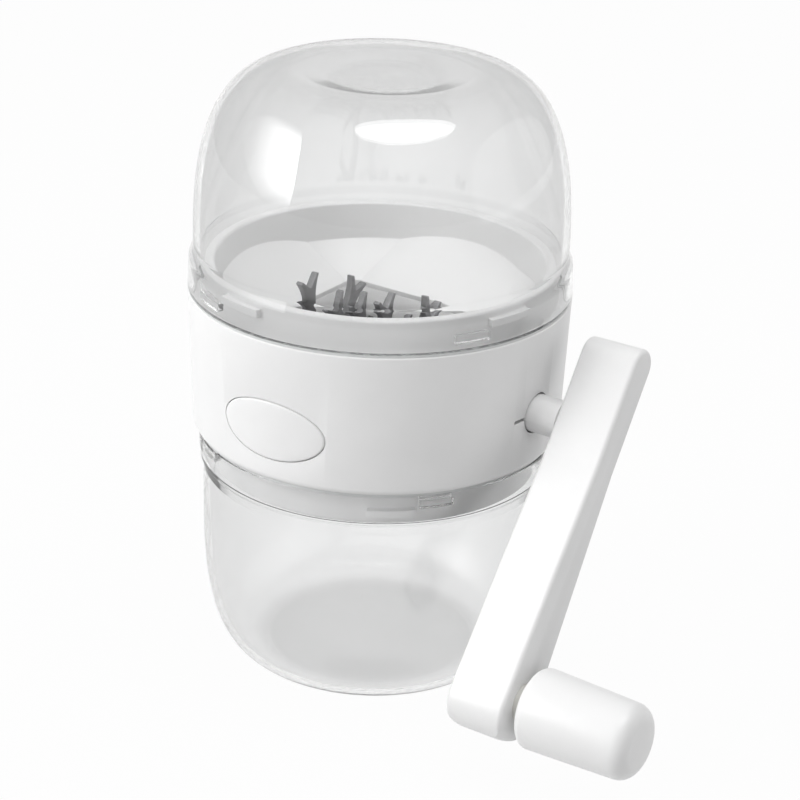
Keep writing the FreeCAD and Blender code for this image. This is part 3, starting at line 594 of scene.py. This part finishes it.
# holeRound is a share of the hole's radius, and cutReach a number of body radii
bodyShell = {
    "columns": 240, "lowRadius": 53.4, "wall": 2.2, "lowRounding": 2.4, "highRounding": 0.5, "edge": 0.2,
    "ledge": 2.2, "seat": 2.2, "lowOpening": 48.1, "highOpening": 51.1, "seatRadius": 52.4,
    "hole": 6.0, "holeRound": 0.9999, "slotReach": 10.2, "slotHeight": 1.1, "cutReach": 1.5}
ovalCover = {
    "heading": -88.4, "width": 33.6, "height": 17.8, "centreZ": crankZ - 0.9, "groove": 0.3, "depth": 1.3,
    "seatGap": 0.05, "proud": 0.25, "rim": 0.5, "rimSteps": 4, "spokes": 96}
shellLow, shellHigh = boxOf("body_shell")
bodyLow, bodyHigh = shellLow.z, shellHigh.z
bodyTopRadius = shellHigh.x
bodyLowRadius = bodyShell["lowRadius"]


def bodyRadius(z):
    return bodyLowRadius + (bodyTopRadius - bodyLowRadius) * (z - bodyLow) / (bodyHigh - bodyLow)


def ovalPlate(name, oval, inset, lift, rim, depth):
    # a plate curved with the body, its rim rounded over and its back at the given depth
    # each row is (share of the way out to the edge, rise over the body, pull in from the edge)
    heading = math.radians(oval["heading"])
    rows = [(share, lift, 0) for share in (0.0, 0.4, 0.75)]
    for step in range(oval["rimSteps"] + 1):
        turn = math.pi / 2 * step / oval["rimSteps"]
        rows.append((1.0, lift - rim * (1 - math.cos(turn)), rim * (1 - math.sin(turn))))
    rows += [(share, -depth, 0) for share in (1.0, 0.5, 0.0)]

    def place(share, rise, pull, spoke):
        across = (oval["width"] / 2 - inset - pull) * share * math.cos(spoke)
        z = oval["centreZ"] + (oval["height"] / 2 - inset - pull) * share * math.sin(spoke)
        reach = bodyRadius(z) + rise
        out = math.sqrt(reach ** 2 - across ** 2)
        return Vector((out * math.cos(heading) - across * math.sin(heading),
                       out * math.sin(heading) + across * math.cos(heading), z))

    spokes = [2 * math.pi * index / oval["spokes"] for index in range(oval["spokes"])]
    return skinMesh(name, [[place(*row, spoke) for row in rows] for spoke in spokes], rowsClose=False)


def makeBodyShell(shell):
    ledgeZ = bodyLow + shell["ledge"]
    seatZ = bodyHigh - shell["seat"]
    outer = roundedPath([
        (shell["lowOpening"], bodyLow, 0), (bodyLowRadius, bodyLow, shell["lowRounding"]),
        (bodyTopRadius, bodyHigh, shell["highRounding"]), (shell["seatRadius"], bodyHigh, 0)],
        closed=False, steps=8)
    inner = [(shell["seatRadius"], seatZ), (shell["highOpening"], seatZ),
             (shell["highOpening"], seatZ - shell["ledge"]),
             (bodyTopRadius - shell["wall"], seatZ - shell["ledge"] - shell["wall"]),
             (bodyLowRadius - shell["wall"], ledgeZ), (shell["lowOpening"], ledgeZ)]
    piece = ringMesh("bodyShell", turnedRings(outer + inner), columnHeadings(shell["columns"]))

    def alongCrank(across, rise, out):
        return Vector((out, across, crankZ + rise))

    reach = bodyTopRadius * shell["cutReach"]
    hole, slotReach, slotHalf = shell["hole"], shell["slotReach"], shell["slotHeight"] / 2
    circle = roundedPath([(across * hole, rise * hole, hole * shell["holeRound"])
                          for across, rise in ((1, -1), (1, 1), (-1, 1), (-1, -1))], steps=14)
    slot = [(0, -slotHalf), (0, slotHalf), (-slotReach, slotHalf), (-slotReach, -slotHalf)]
    cutAway(piece, [
        prism("holeCutter", circle, reach, alongCrank), prism("slotCutter", slot, reach, alongCrank),
        ovalPlate("recessCutter", ovalCover, inset=0, lift=4.0, rim=0.001, depth=ovalCover["depth"])])
    rounded(piece, shell["edge"])
    finish(piece, whiteGloss, "housing", "white_plastic", "body_shell")


def makeOvalCover(oval):
    depth = oval["depth"] - oval["seatGap"]
    piece = ovalPlate("ovalCover", oval, oval["groove"], oval["proud"], oval["rim"], depth)
    finish(piece, whiteGloss, "housing", "white_plastic", "oval_cover")


makeBodyShell(bodyShell)
makeOvalCover(ovalCover)


# Hopper: a ribbed neck, and a funnel that goes from round to a rounded rectangle

hopper = {
    "columns": 240, "rim": 3.4, "rimRounding": 0.8, "neckHeight": 8.9, "flange": 1.6, "flangeThickness": 2.2,
    "lipDrop": 2.5, "wall": 2.2, "depth": 9.2, "spoutLength": 55.0, "spoutWidth": 50.0, "spoutRounding": 3.0,
    "spoutDepth": 1.5, "cornerSpread": 36.0, "edge": 0.2,
    "ribs": {"low": 5.0, "height": 2.2, "reach": 1.7, "width": 16.0, "heading": -12.6},
    "bosses": {"along": 14.0, "across": 39.17, "radius": 3.2, "bore": 1.55, "boreDepth": 13.0, "sunk": 1.5,
               "pole": 0.001, "columns": 32}}


def rectangleRing(length, width, rounding, z, spread):
    # each corner takes a wide share of the circle above it, and each side the little that is left
    def onArc(number, angle):
        across = 1 if number % 4 in (0, 3) else -1
        aside = 1 if number % 4 in (0, 1) else -1
        return Vector((across * (length / 2 - rounding) + rounding * math.cos(math.radians(angle)),
                       aside * (width / 2 - rounding) + rounding * math.sin(math.radians(angle)), z))

    def place(heading, onBlock):
        corner = int((heading % 360) // 90)
        centre = 45 + 90 * corner
        turn = (heading % 360 - centre) / spread * 90
        if abs(turn) <= 45:
            return onArc(corner, centre + turn)
        other = corner + (1 if turn > 0 else -1)
        share = (abs(heading % 360 - centre) - spread / 2) / (90 - spread)
        near = onArc(corner, centre + math.copysign(45, turn))
        far = onArc(other, 45 + 90 * other - math.copysign(45, turn))
        return near.lerp(far, share)
    return place


def flatReach(radius, spread):
    # how far out the funnel's flat sides meet its corners
    return radius * math.cos(math.radians(45 - spread / 2))


def funnelRing(radius, cornerZ, low, length, width, spread):
    # where the funnel meets the round wall: level over each corner, and higher where its flat sides run on
    reach = flatReach(radius, spread)

    def place(heading, onBlock):
        angle = math.radians(heading)
        across = Vector((abs(math.cos(angle)), abs(math.sin(angle)))) * radius
        half = (length if across.x > across.y else width) / 2
        rise = max(max(across) - reach, 0) * (cornerZ - low) / (reach - half)
        return Vector((radius * math.cos(angle), radius * math.sin(angle), cornerZ + rise))
    return place


def screwBoss(name, boss, x, y, foot, wallLine):
    # a pillar bored from below, whose top follows the slope that it holds up
    def ring(radius, z=None):
        def place(heading, onBlock):
            angle = math.radians(heading)
            here = Vector((x + radius * math.cos(angle), y + radius * math.sin(angle)))
            return Vector((*here, wallLine(abs(here.y)) - boss["sunk"] if z is None else z))
        return place
    boreTop = foot + boss["boreDepth"]
    rings = [ring(boss["bore"], foot), ring(boss["radius"], foot), ring(boss["radius"]),
             ring(boss["pole"]), ring(boss["pole"], boreTop), ring(boss["bore"], boreTop)]
    return ringMesh(name, rings, columnHeadings(boss["columns"]))


def makeHopper(hopper):
    low, high = boxOf("hopper")
    ribs, boss = hopper["ribs"], hopper["bosses"]
    length, width, rounding = hopper["spoutLength"], hopper["spoutWidth"], hopper["spoutRounding"]
    wall, spread = hopper["wall"], hopper["cornerSpread"]
    neckTop = high.z
    neckBase = neckTop - hopper["neckHeight"]
    neckRadius = high.x - ribs["reach"]
    rimInner = neckRadius - hopper["rim"]
    funnelTop = neckBase - hopper["lipDrop"]
    funnelLow = funnelTop - hopper["depth"]
    spoutLow = funnelLow - hopper["spoutDepth"]
    flangeZ = neckBase - hopper["flangeThickness"]
    flangeRadius = neckRadius + hopper["flange"]
    outer = rimInner + wall
    rim = roundedPath([
        (rimInner, funnelTop, 0), (rimInner, neckTop, hopper["rimRounding"]),
        (neckRadius, neckTop, hopper["rimRounding"]), (neckRadius, neckBase, 0)], closed=False, steps=12)
    ribLow = neckBase + ribs["low"]
    rings = [funnelRing(rimInner, funnelTop, funnelLow, length, width, spread)] + turnedRings(rim[1:-1])
    rings += blockRings(neckRadius, neckRadius + ribs["reach"], ribLow + ribs["height"], ribLow)
    rings += turnedRings([(neckRadius, neckBase), (flangeRadius, neckBase), (flangeRadius, flangeZ),
                          (outer, flangeZ), (outer, funnelTop - wall)])
    rings.append(rectangleRing(length + 2 * wall, width + 2 * wall, rounding + wall, spoutLow, spread))
    rings += [rectangleRing(length, width, rounding, z, spread) for z in (spoutLow, funnelLow)]
    headings = quarterTurns(ribs["heading"])
    columns = columnHeadings(hopper["columns"], headings, ribs["width"])
    for corner in quarterTurns(45):
        for side in (-1, 1):
            edge = (corner + side * spread / 2) % 360
            columns.append((edge, isOnBlock(edge, headings, ribs["width"])))
    shell = ringMesh("hopperShell", rings, sorted(set(columns)))
    rounded(shell, hopper["edge"])

    def wallLine(y):
        return funnelLow + (y - width / 2) * hopper["depth"] / (flatReach(rimInner, spread) - width / 2)

    pillars = [screwBoss("pillar", boss, along * boss["along"], across * boss["across"], low.z, wallLine)
               for along in (-1, 1) for across in (-1, 1)]
    piece = joined("nutHopper", [shell] + pillars)
    finish(piece, whiteGloss, "housing", "white_plastic", "hopper", sharp=9)


makeHopper(hopper)


# Star blades: a Geometry Nodes tree fills, thickens and stands each forked star on the shaft, at its own turn

starBlades = {
    "tipRadius": 23.3, "hubRadius": 7.6, "arms": 4, "rootHalf": 32.0, "waistRadius": 12.6, "waistWidth": 4.2,
    "flankHollow": 0.54, "sideHollow": 0.98, "forkHalf": 11.0, "tipWidth": 1.3, "tipLean": 25.0,
    "notchRadius": 20.4, "notchRounding": 0.7, "squareHole": 6.2, "shaftTurn": -9.0, "edge": 0.16,
    "turns": (-8.0, 33.0, -23.0, -17.0, -6.0, 31.0, 3.0)}


def geometryTree(name, inputs):
    tree = bpy.data.node_groups.new(name, "GeometryNodeTree")
    tree.is_modifier = True
    tree.interface.new_socket("Geometry", in_out="INPUT", socket_type="NodeSocketGeometry")
    for label, kind in inputs.items():
        tree.interface.new_socket(label, in_out="INPUT", socket_type=kind)
    tree.interface.new_socket("Geometry", in_out="OUTPUT", socket_type="NodeSocketGeometry")
    return tree, tree.nodes.new("NodeGroupInput").outputs, tree.nodes.new("NodeGroupOutput")


def buildStampedPlate():
    # fills a flat outline, thickens it, and stands it across the shaft as often as its count says
    tree, given, result = geometryTree("stampedPlate", {
        "Count": "NodeSocketInt", "Pitch": "NodeSocketFloat", "First Place": "NodeSocketVector",
        "Thickness": "NodeSocketFloat", "Turn": "NodeSocketFloat", "Material": "NodeSocketMaterial"})
    fill = addNode(tree, "GeometryNodeFillCurve", {"Curve": given["Geometry"]}, mode="NGONS").outputs["Mesh"]
    thicken = addNode(tree, "GeometryNodeExtrudeMesh", {
        "Mesh": fill, "Offset Scale": given["Thickness"], "Individual": False}, mode="FACES")
    under = addNode(tree, "GeometryNodeFlipFaces", {"Mesh": fill})
    join = addNode(tree, "GeometryNodeJoinGeometry", {"Geometry": thicken.outputs["Mesh"]})
    feed(tree, join, {"Geometry": under.outputs["Mesh"]})
    weld = addNode(tree, "GeometryNodeMergeByDistance", {
        "Geometry": join.outputs["Geometry"], "Distance": 1e-6})
    stand = addNode(tree, "GeometryNodeTransform", {
        "Geometry": weld.outputs["Geometry"], "Rotation": (math.pi / 2, 0, math.pi / 2)})
    step = addNode(tree, "ShaderNodeCombineXYZ", {"X": given["Pitch"]})
    row = addNode(tree, "GeometryNodeMeshLine", {
        "Count": given["Count"], "Start Location": given["First Place"], "Offset": step.outputs["Vector"]})
    spin = addNode(tree, "ShaderNodeCombineXYZ", {"X": given["Turn"]})
    place = addNode(tree, "GeometryNodeInstanceOnPoints", {
        "Points": row.outputs["Mesh"], "Instance": stand.outputs["Geometry"],
        "Rotation": spin.outputs["Vector"]})
    real = addNode(tree, "GeometryNodeRealizeInstances", {"Geometry": place.outputs["Instances"]})
    paint = addNode(tree, "GeometryNodeSetMaterial", {
        "Geometry": real.outputs["Geometry"], "Material": given["Material"]})
    feed(tree, result, {"Geometry": paint.outputs["Geometry"]})
    return tree


stampedPlate = buildStampedPlate()


def grown(name, source, tree, values):
    # runs a tree on a source object and keeps the result as a plain mesh
    modifier = source.modifiers.new(name, "NODES")
    modifier.node_group = tree
    for item in tree.interface.items_tree:
        if item.item_type == "SOCKET" and item.in_out == "INPUT" and item.name in values:
            modifier[item.identifier] = values[item.name]
    mesh = evaluatedMesh(source)
    mesh.name = name
    bpy.data.objects.remove(source)
    return newObject(name, mesh)


def hollowArc(start, end, hollow, steps=8):
    # points on an arc that bends off the straight line by a hollow to its right, without its first point
    chord = end - start
    across = Vector((chord.y, -chord.x)).normalized()
    half = chord.length / 2
    radius = (half ** 2 + hollow ** 2) / (2 * abs(hollow))
    turn = math.asin(half / radius)
    middle = (start + end) / 2 + across * (hollow - math.copysign(radius, hollow))
    first = start - middle
    whole = math.copysign(2 * turn, hollow)
    return [middle + Matrix.Rotation(whole * step / steps, 2) @ first for step in range(1, steps + 1)]


def armOutline(star):
    # one forked arm pointing up, from its right foot over the fork to its left foot
    tip = math.radians(star["forkHalf"])
    lean = math.radians(star["forkHalf"] + star["tipLean"])
    root = math.radians(star["rootHalf"])
    foot = Vector((star["hubRadius"] * math.sin(root), star["hubRadius"] * math.cos(root)))
    waist = Vector((star["waistWidth"] / 2, star["waistRadius"]))
    prong = Vector((star["tipRadius"] * math.sin(tip), star["tipRadius"] * math.cos(tip)))
    inner = prong + Vector((-star["tipWidth"] * math.cos(lean), star["tipWidth"] * math.sin(lean) / 2))
    right = [foot] + hollowArc(foot, waist, -star["flankHollow"])
    right += hollowArc(waist, prong, -star["sideHollow"])
    notch = roundedPath([
        (inner.x, inner.y, 0), (0, star["notchRadius"] - star["notchRounding"], star["notchRounding"]),
        (-inner.x, inner.y, 0)], closed=False, steps=4)
    return right + notch + [Vector((-point.x, point.y)) for point in reversed(right)]


def starOutlines(star, holeTurn):
    # the star's rim, and the square hole in its hub
    rim = []
    for arm in range(star["arms"]):
        spin = Matrix.Rotation(math.radians(360 * arm / star["arms"]), 2)
        rim += [spin @ point for point in armOutline(star)]
    half = star["squareHole"] / 2
    hole = [Matrix.Rotation(math.radians(holeTurn), 2) @ Vector(corner)
            for corner in ((-half, -half), (half, -half), (half, half), (-half, half))]
    return [rim, hole]


def makeStarBlades(star):
    for number, turn in enumerate(star["turns"], start=1):
        node = "star_blade_%d" % number
        name = "starBlade%d" % number
        low, high = boxOf(node)
        outline = flatCurve(name + "Outline", starOutlines(star, turn - star["shaftTurn"]))
        piece = grown(name, outline, stampedPlate, {
            "Count": 1, "Pitch": 0.0, "First Place": (low.x * mm, 0, crankZ * mm),
            "Thickness": (high.x - low.x) * mm, "Turn": -math.radians(turn), "Material": bladeSteel})
        rounded(piece, star["edge"])
        finish(piece, bladeSteel, "crank", "blade_steel", node)


makeStarBlades(starBlades)


# Fixed combs: the same tree repeats one pointed tooth along the shaft, before a back strip

comb = {"count": 6, "thickness": 1.8, "height": 8.0, "tipHeight": 4.0, "tipPlace": 7.2, "wallPlace": 27.2,
        "back": 2.0, "tipRounding": 1.0, "edge": 0.15}


def makeComb(name, node, side, comb):
    low, high = boxOf(node)
    pitch = (high.x - low.x) / comb["count"]
    half, tipHalf, rounding = comb["height"] / 2, comb["tipHeight"] / 2, comb["tipRounding"]
    root = comb["wallPlace"] + comb["back"] / 2
    slope = comb["tipPlace"] + comb["height"]
    outline = roundedPath([(side * across, rise, radius) for across, rise, radius in (
        (root, -half, 0), (root, half, 0), (slope, half, 0), (comb["tipPlace"], tipHalf, rounding),
        (comb["tipPlace"], -tipHalf, rounding), (slope, -half, 0))], steps=5)
    teeth = grown(name + "Teeth", flatCurve(name + "Outline", [outline]), stampedPlate, {
        "Count": comb["count"], "Pitch": pitch * mm,
        "First Place": ((low.x + (pitch - comb["thickness"]) / 2) * mm, 0, crankZ * mm),
        "Thickness": comb["thickness"] * mm, "Turn": 0.0, "Material": bladeSteel})
    near, far = sorted((side * comb["wallPlace"], side * (comb["wallPlace"] + comb["back"])))
    strip = prism(name + "Strip", [(near, -half), (far, -half), (far, half), (near, half)], high.x - low.x,
                  lambda across, rise, out: Vector((low.x + out, across, crankZ + rise)))
    piece = rounded(joined(name, [teeth, strip]), comb["edge"])
    finish(piece, bladeSteel, "housing", "blade_steel", node)


makeComb("frontComb", "front_comb", -1, comb)
makeComb("rearComb", "rear_comb", 1, comb)


# Crank knob, turned upright and then laid along its own axis

knob = {"columns": 96, "length": 33.6, "innerRadius": 11.5, "outerRadius": 10.5, "innerRounding": 2.6,
        "outerRounding": 4.6, "crown": 0.7, "bore": 3.05, "boreDepth": 26.8}


def makeKnob(knob):
    start = boxOf("crank_knob")[0].x
    end = start + knob["length"]
    path = roundedPath([
        (knob["bore"], start, 0), (knob["innerRadius"], start, knob["innerRounding"]),
        (knob["outerRadius"], end - knob["crown"], knob["outerRounding"]), (0, end, 0),
        (0, start + knob["boreDepth"], 0), (knob["bore"], start + knob["boreDepth"], 0)], steps=10)
    piece = ringMesh("crankKnob", turnedRings(path), columnHeadings(knob["columns"]))
    piece.data.transform(Matrix(((0, 0, 1, 0), (1, 0, 0, knobY * mm), (0, 1, 0, knobZ * mm), (0, 0, 0, 1))))
    finish(piece, knobWhite, "knob", "white_plastic", "crank_knob")


makeKnob(knob)


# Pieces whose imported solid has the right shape: copies with merged corners and softened edges

copiedPieces = {
    "crankArm": ("crank_arm", whiteGloss, "crank", "white_plastic", 0.15),
    "lowerCollar": ("lower_collar", innerPaintedLightWhite, "housing", "white_plastic", 0.15),
    "bladeChamber": ("blade_chamber", innerPaintedLightWhite, "housing", "white_plastic", 0.15),
    "driveShaft": ("drive_shaft", shaftSteel, "crank", "shaft_steel", 0.1),
}
for name, (node, material, body, slot, edge) in copiedPieces.items():
    finish(rounded(mergedCopy(name, node), edge), material, body, slot, node, sharp=24)


# Small and hidden pieces keep their solids and take a finish

finishOf = {
    bearingWhite: ["end_bush", "drive_bush", "knob_pin", "end_spacer_left", "end_spacer_right"]
    + ["blade_spacer_%d" % number for number in range(1, 7)],
    sealSilicone: ["lower_seal", "upper_seal"],
    shaftSteel: ["shaft_clip", "drive_pin", "chamber_screws"],
}
for material, names in finishOf.items():
    for node in names:
        nodes[node].data.materials.clear()
        nodes[node].data.materials.append(material)
print("nodes painted")


# Studio: floor, world, glowing card, lamps and camera

studio = {"floorSize": 6.0, "floorTone": 0.62, "floorMottle": 0.01, "ambient": 0.465, "cameraWhite": 1.0,
          "floorVeil": 0.965, "glossWhite": 0.4, "aim": Vector((0, 0, 0.09))}
softBox = {"heading": -138.6, "distance": 1.134, "rise": 0.62, "nearHalf": 0.275, "farHalf": 0.85,
           "halfHeight": 0.6, "lean": 0.58, "evenTo": 0.5, "bright": 7.6, "faint": 0.9, "steps": 48}
lamps = {
    "topSoft": {"place": (0.26, -0.09, 1.2), "size": (0.95, 0.75), "power": 5.3},
    "rightSoft": {"place": (1.0, 0.8, 0.35), "size": (2.0, 1.4), "power": 2.2},
}
# place, sight and upward come from fitting the outlines of the cups and the crank to the photograph
cameraView = {"place": (0.350147, -0.512527, 0.349698), "sight": (-0.50867723, 0.76207541, -0.40061022),
              "upward": (-0.24922245, 0.31505057, 0.91576815), "lens": 104.273, "sensor": 36.0}


def seenWhite(tree, share, glossShare):
    # one for rays that see the background from the camera or through clear plastic, and less by way of gloss
    rays = addNode(tree, "ShaderNodeLightPath").outputs
    total = mathNode(tree, "MAXIMUM", rays["Is Camera Ray"], rays["Is Transmission Ray"])
    total = mathNode(tree, "MAXIMUM", total, mathNode(tree, "MULTIPLY", rays["Is Glossy Ray"], glossShare))
    direct = mathNode(tree, "LESS_THAN", rays["Diffuse Depth"], 0.5)  # not for light that a surface gathers
    return mathNode(tree, "MULTIPLY", mathNode(tree, "MULTIPLY", total, direct), share)


def makeFloor(studio):
    work = bmesh.new()
    bmesh.ops.create_grid(work, x_segments=8, y_segments=8, size=studio["floorSize"] / 2)
    floor = meshObject("studioFloor", work)
    material, tree, shader = newMaterial("studioPaper")
    mottle = noise(tree, objectPlace(tree), scale=3.0, detail=2.0)
    tone = studio["floorTone"]
    feed(tree, shader, {
        "Base Color": tintRamp(tree, mottle, grey(tone - studio["floorMottle"]), grey(tone)),
        "Roughness": 0.9, "Specular IOR Level": 0.1})
    glow = addNode(tree, "ShaderNodeEmission", {"Strength": studio["cameraWhite"]})
    share = seenWhite(tree, studio["floorVeil"], 1.0)
    mixSurface(tree, share, shader.outputs["BSDF"], glow.outputs["Emission"])
    floor.data.materials.append(material)


def makeWorld(studio):
    world = bpy.data.worlds.new("studioWorld")
    world.use_nodes = True
    tree = world.node_tree
    white = (1, 1, 1, 1)
    soft = tree.nodes["Background"]
    feed(tree, soft, {"Color": white, "Strength": studio["ambient"]})
    seen = addNode(tree, "ShaderNodeBackground", {"Color": white, "Strength": studio["cameraWhite"]})
    share = seenWhite(tree, 1.0, studio["glossWhite"])
    mixSurface(tree, share, soft.outputs["Background"], seen.outputs["Background"], "World Output")
    scene.world = world


def softBoxGlow(box):
    # brightest on the side near the camera, fading to the far side and to both ends
    material, tree, shader = newMaterial("softBoxGlow")
    tree.nodes.remove(shader)
    spread = addNode(tree, "ShaderNodeUVMap", uv_map="across")
    parts = addNode(tree, "ShaderNodeSeparateXYZ", {"Vector": spread.outputs["UV"]}).outputs
    across = eased(tree, parts["X"], (0.0, 1.0), curve="SMOOTHERSTEP")
    offMiddle = mathNode(tree, "ABSOLUTE", mathNode(tree, "SUBTRACT", parts["Y"], 0.5))
    endward = eased(tree, offMiddle, (0.5, box["evenTo"] / 2))
    share = mathNode(tree, "MULTIPLY", across, endward)
    strength = mathNode(tree, "MULTIPLY_ADD", share, box["bright"] - box["faint"], box["faint"])
    glow = addNode(tree, "ShaderNodeEmission", {"Strength": strength})
    feed(tree, tree.nodes["Material Output"], {"Surface": glow.outputs["Emission"]})
    return material


def makeSoftBox(name, box, target):
    # a glowing card, round on the side near the camera and long on the other, which leans over
    heading = math.radians(box["heading"])
    middle = Vector((box["distance"] * math.cos(heading), box["distance"] * math.sin(heading), box["rise"]))
    aside = Vector((-math.sin(heading), math.cos(heading), 0))
    upward = aside.cross((middle - target).normalized())
    upward *= math.copysign(1, upward.z)
    width = box["nearHalf"] + box["farHalf"]
    height = 2 * box["halfHeight"]
    lean = box["lean"] / 2
    work = bmesh.new()
    layer = work.loops.layers.uv.new("across")
    corners, places = [], []
    for step in range(box["steps"]):
        turn = 2 * math.pi * step / box["steps"]
        across = (box["nearHalf"] if math.cos(turn) > 0 else box["farHalf"]) * math.cos(turn)
        rise = box["halfHeight"] * math.sin(turn)
        leaning = across + lean * (1 - math.sin(turn))
        corners.append(work.verts.new(middle + aside * leaning + upward * rise))
        places.append(((across + box["farHalf"]) / width, rise / height + 0.5))
    face = work.faces.new(corners)
    for loop, place in zip(face.loops, places):
        loop[layer].uv = place
    bmesh.ops.triangulate(work, faces=work.faces)
    card = meshObject(name, work)
    card.data.materials.append(softBoxGlow(box))
    card.visible_camera = False  # only lit surfaces and gloss see it
    card.visible_transmission = False
    card.visible_shadow = False


def makeLamp(name, lamp, target):
    data = bpy.data.lights.new(name, "AREA")
    data.shape = "ELLIPSE"
    data.size, data.size_y = lamp["size"]
    data.energy = lamp["power"]
    holder = newObject(name, data)
    holder.location = lamp["place"]
    holder.rotation_euler = (target - Vector(lamp["place"])).to_track_quat("-Z", "Y").to_euler()


def makeCamera(view):
    data = bpy.data.cameras.new("photoCamera")
    data.lens = view["lens"]
    data.sensor_width = view["sensor"]
    camera = newObject("photoCamera", data)
    back = -Vector(view["sight"]).normalized()
    upward = Vector(view["upward"]).normalized()
    turn = Matrix((upward.cross(back), upward, back)).transposed().to_4x4()
    camera.matrix_world = Matrix.Translation(view["place"]) @ turn
    scene.camera = camera


makeFloor(studio)
makeWorld(studio)
makeSoftBox("softBoxLeft", softBox, studio["aim"])
for lampName, lamp in lamps.items():
    makeLamp(lampName, lamp, studio["aim"])
makeCamera(cameraView)
scene.view_settings.view_transform = "Standard"
print("studio built")
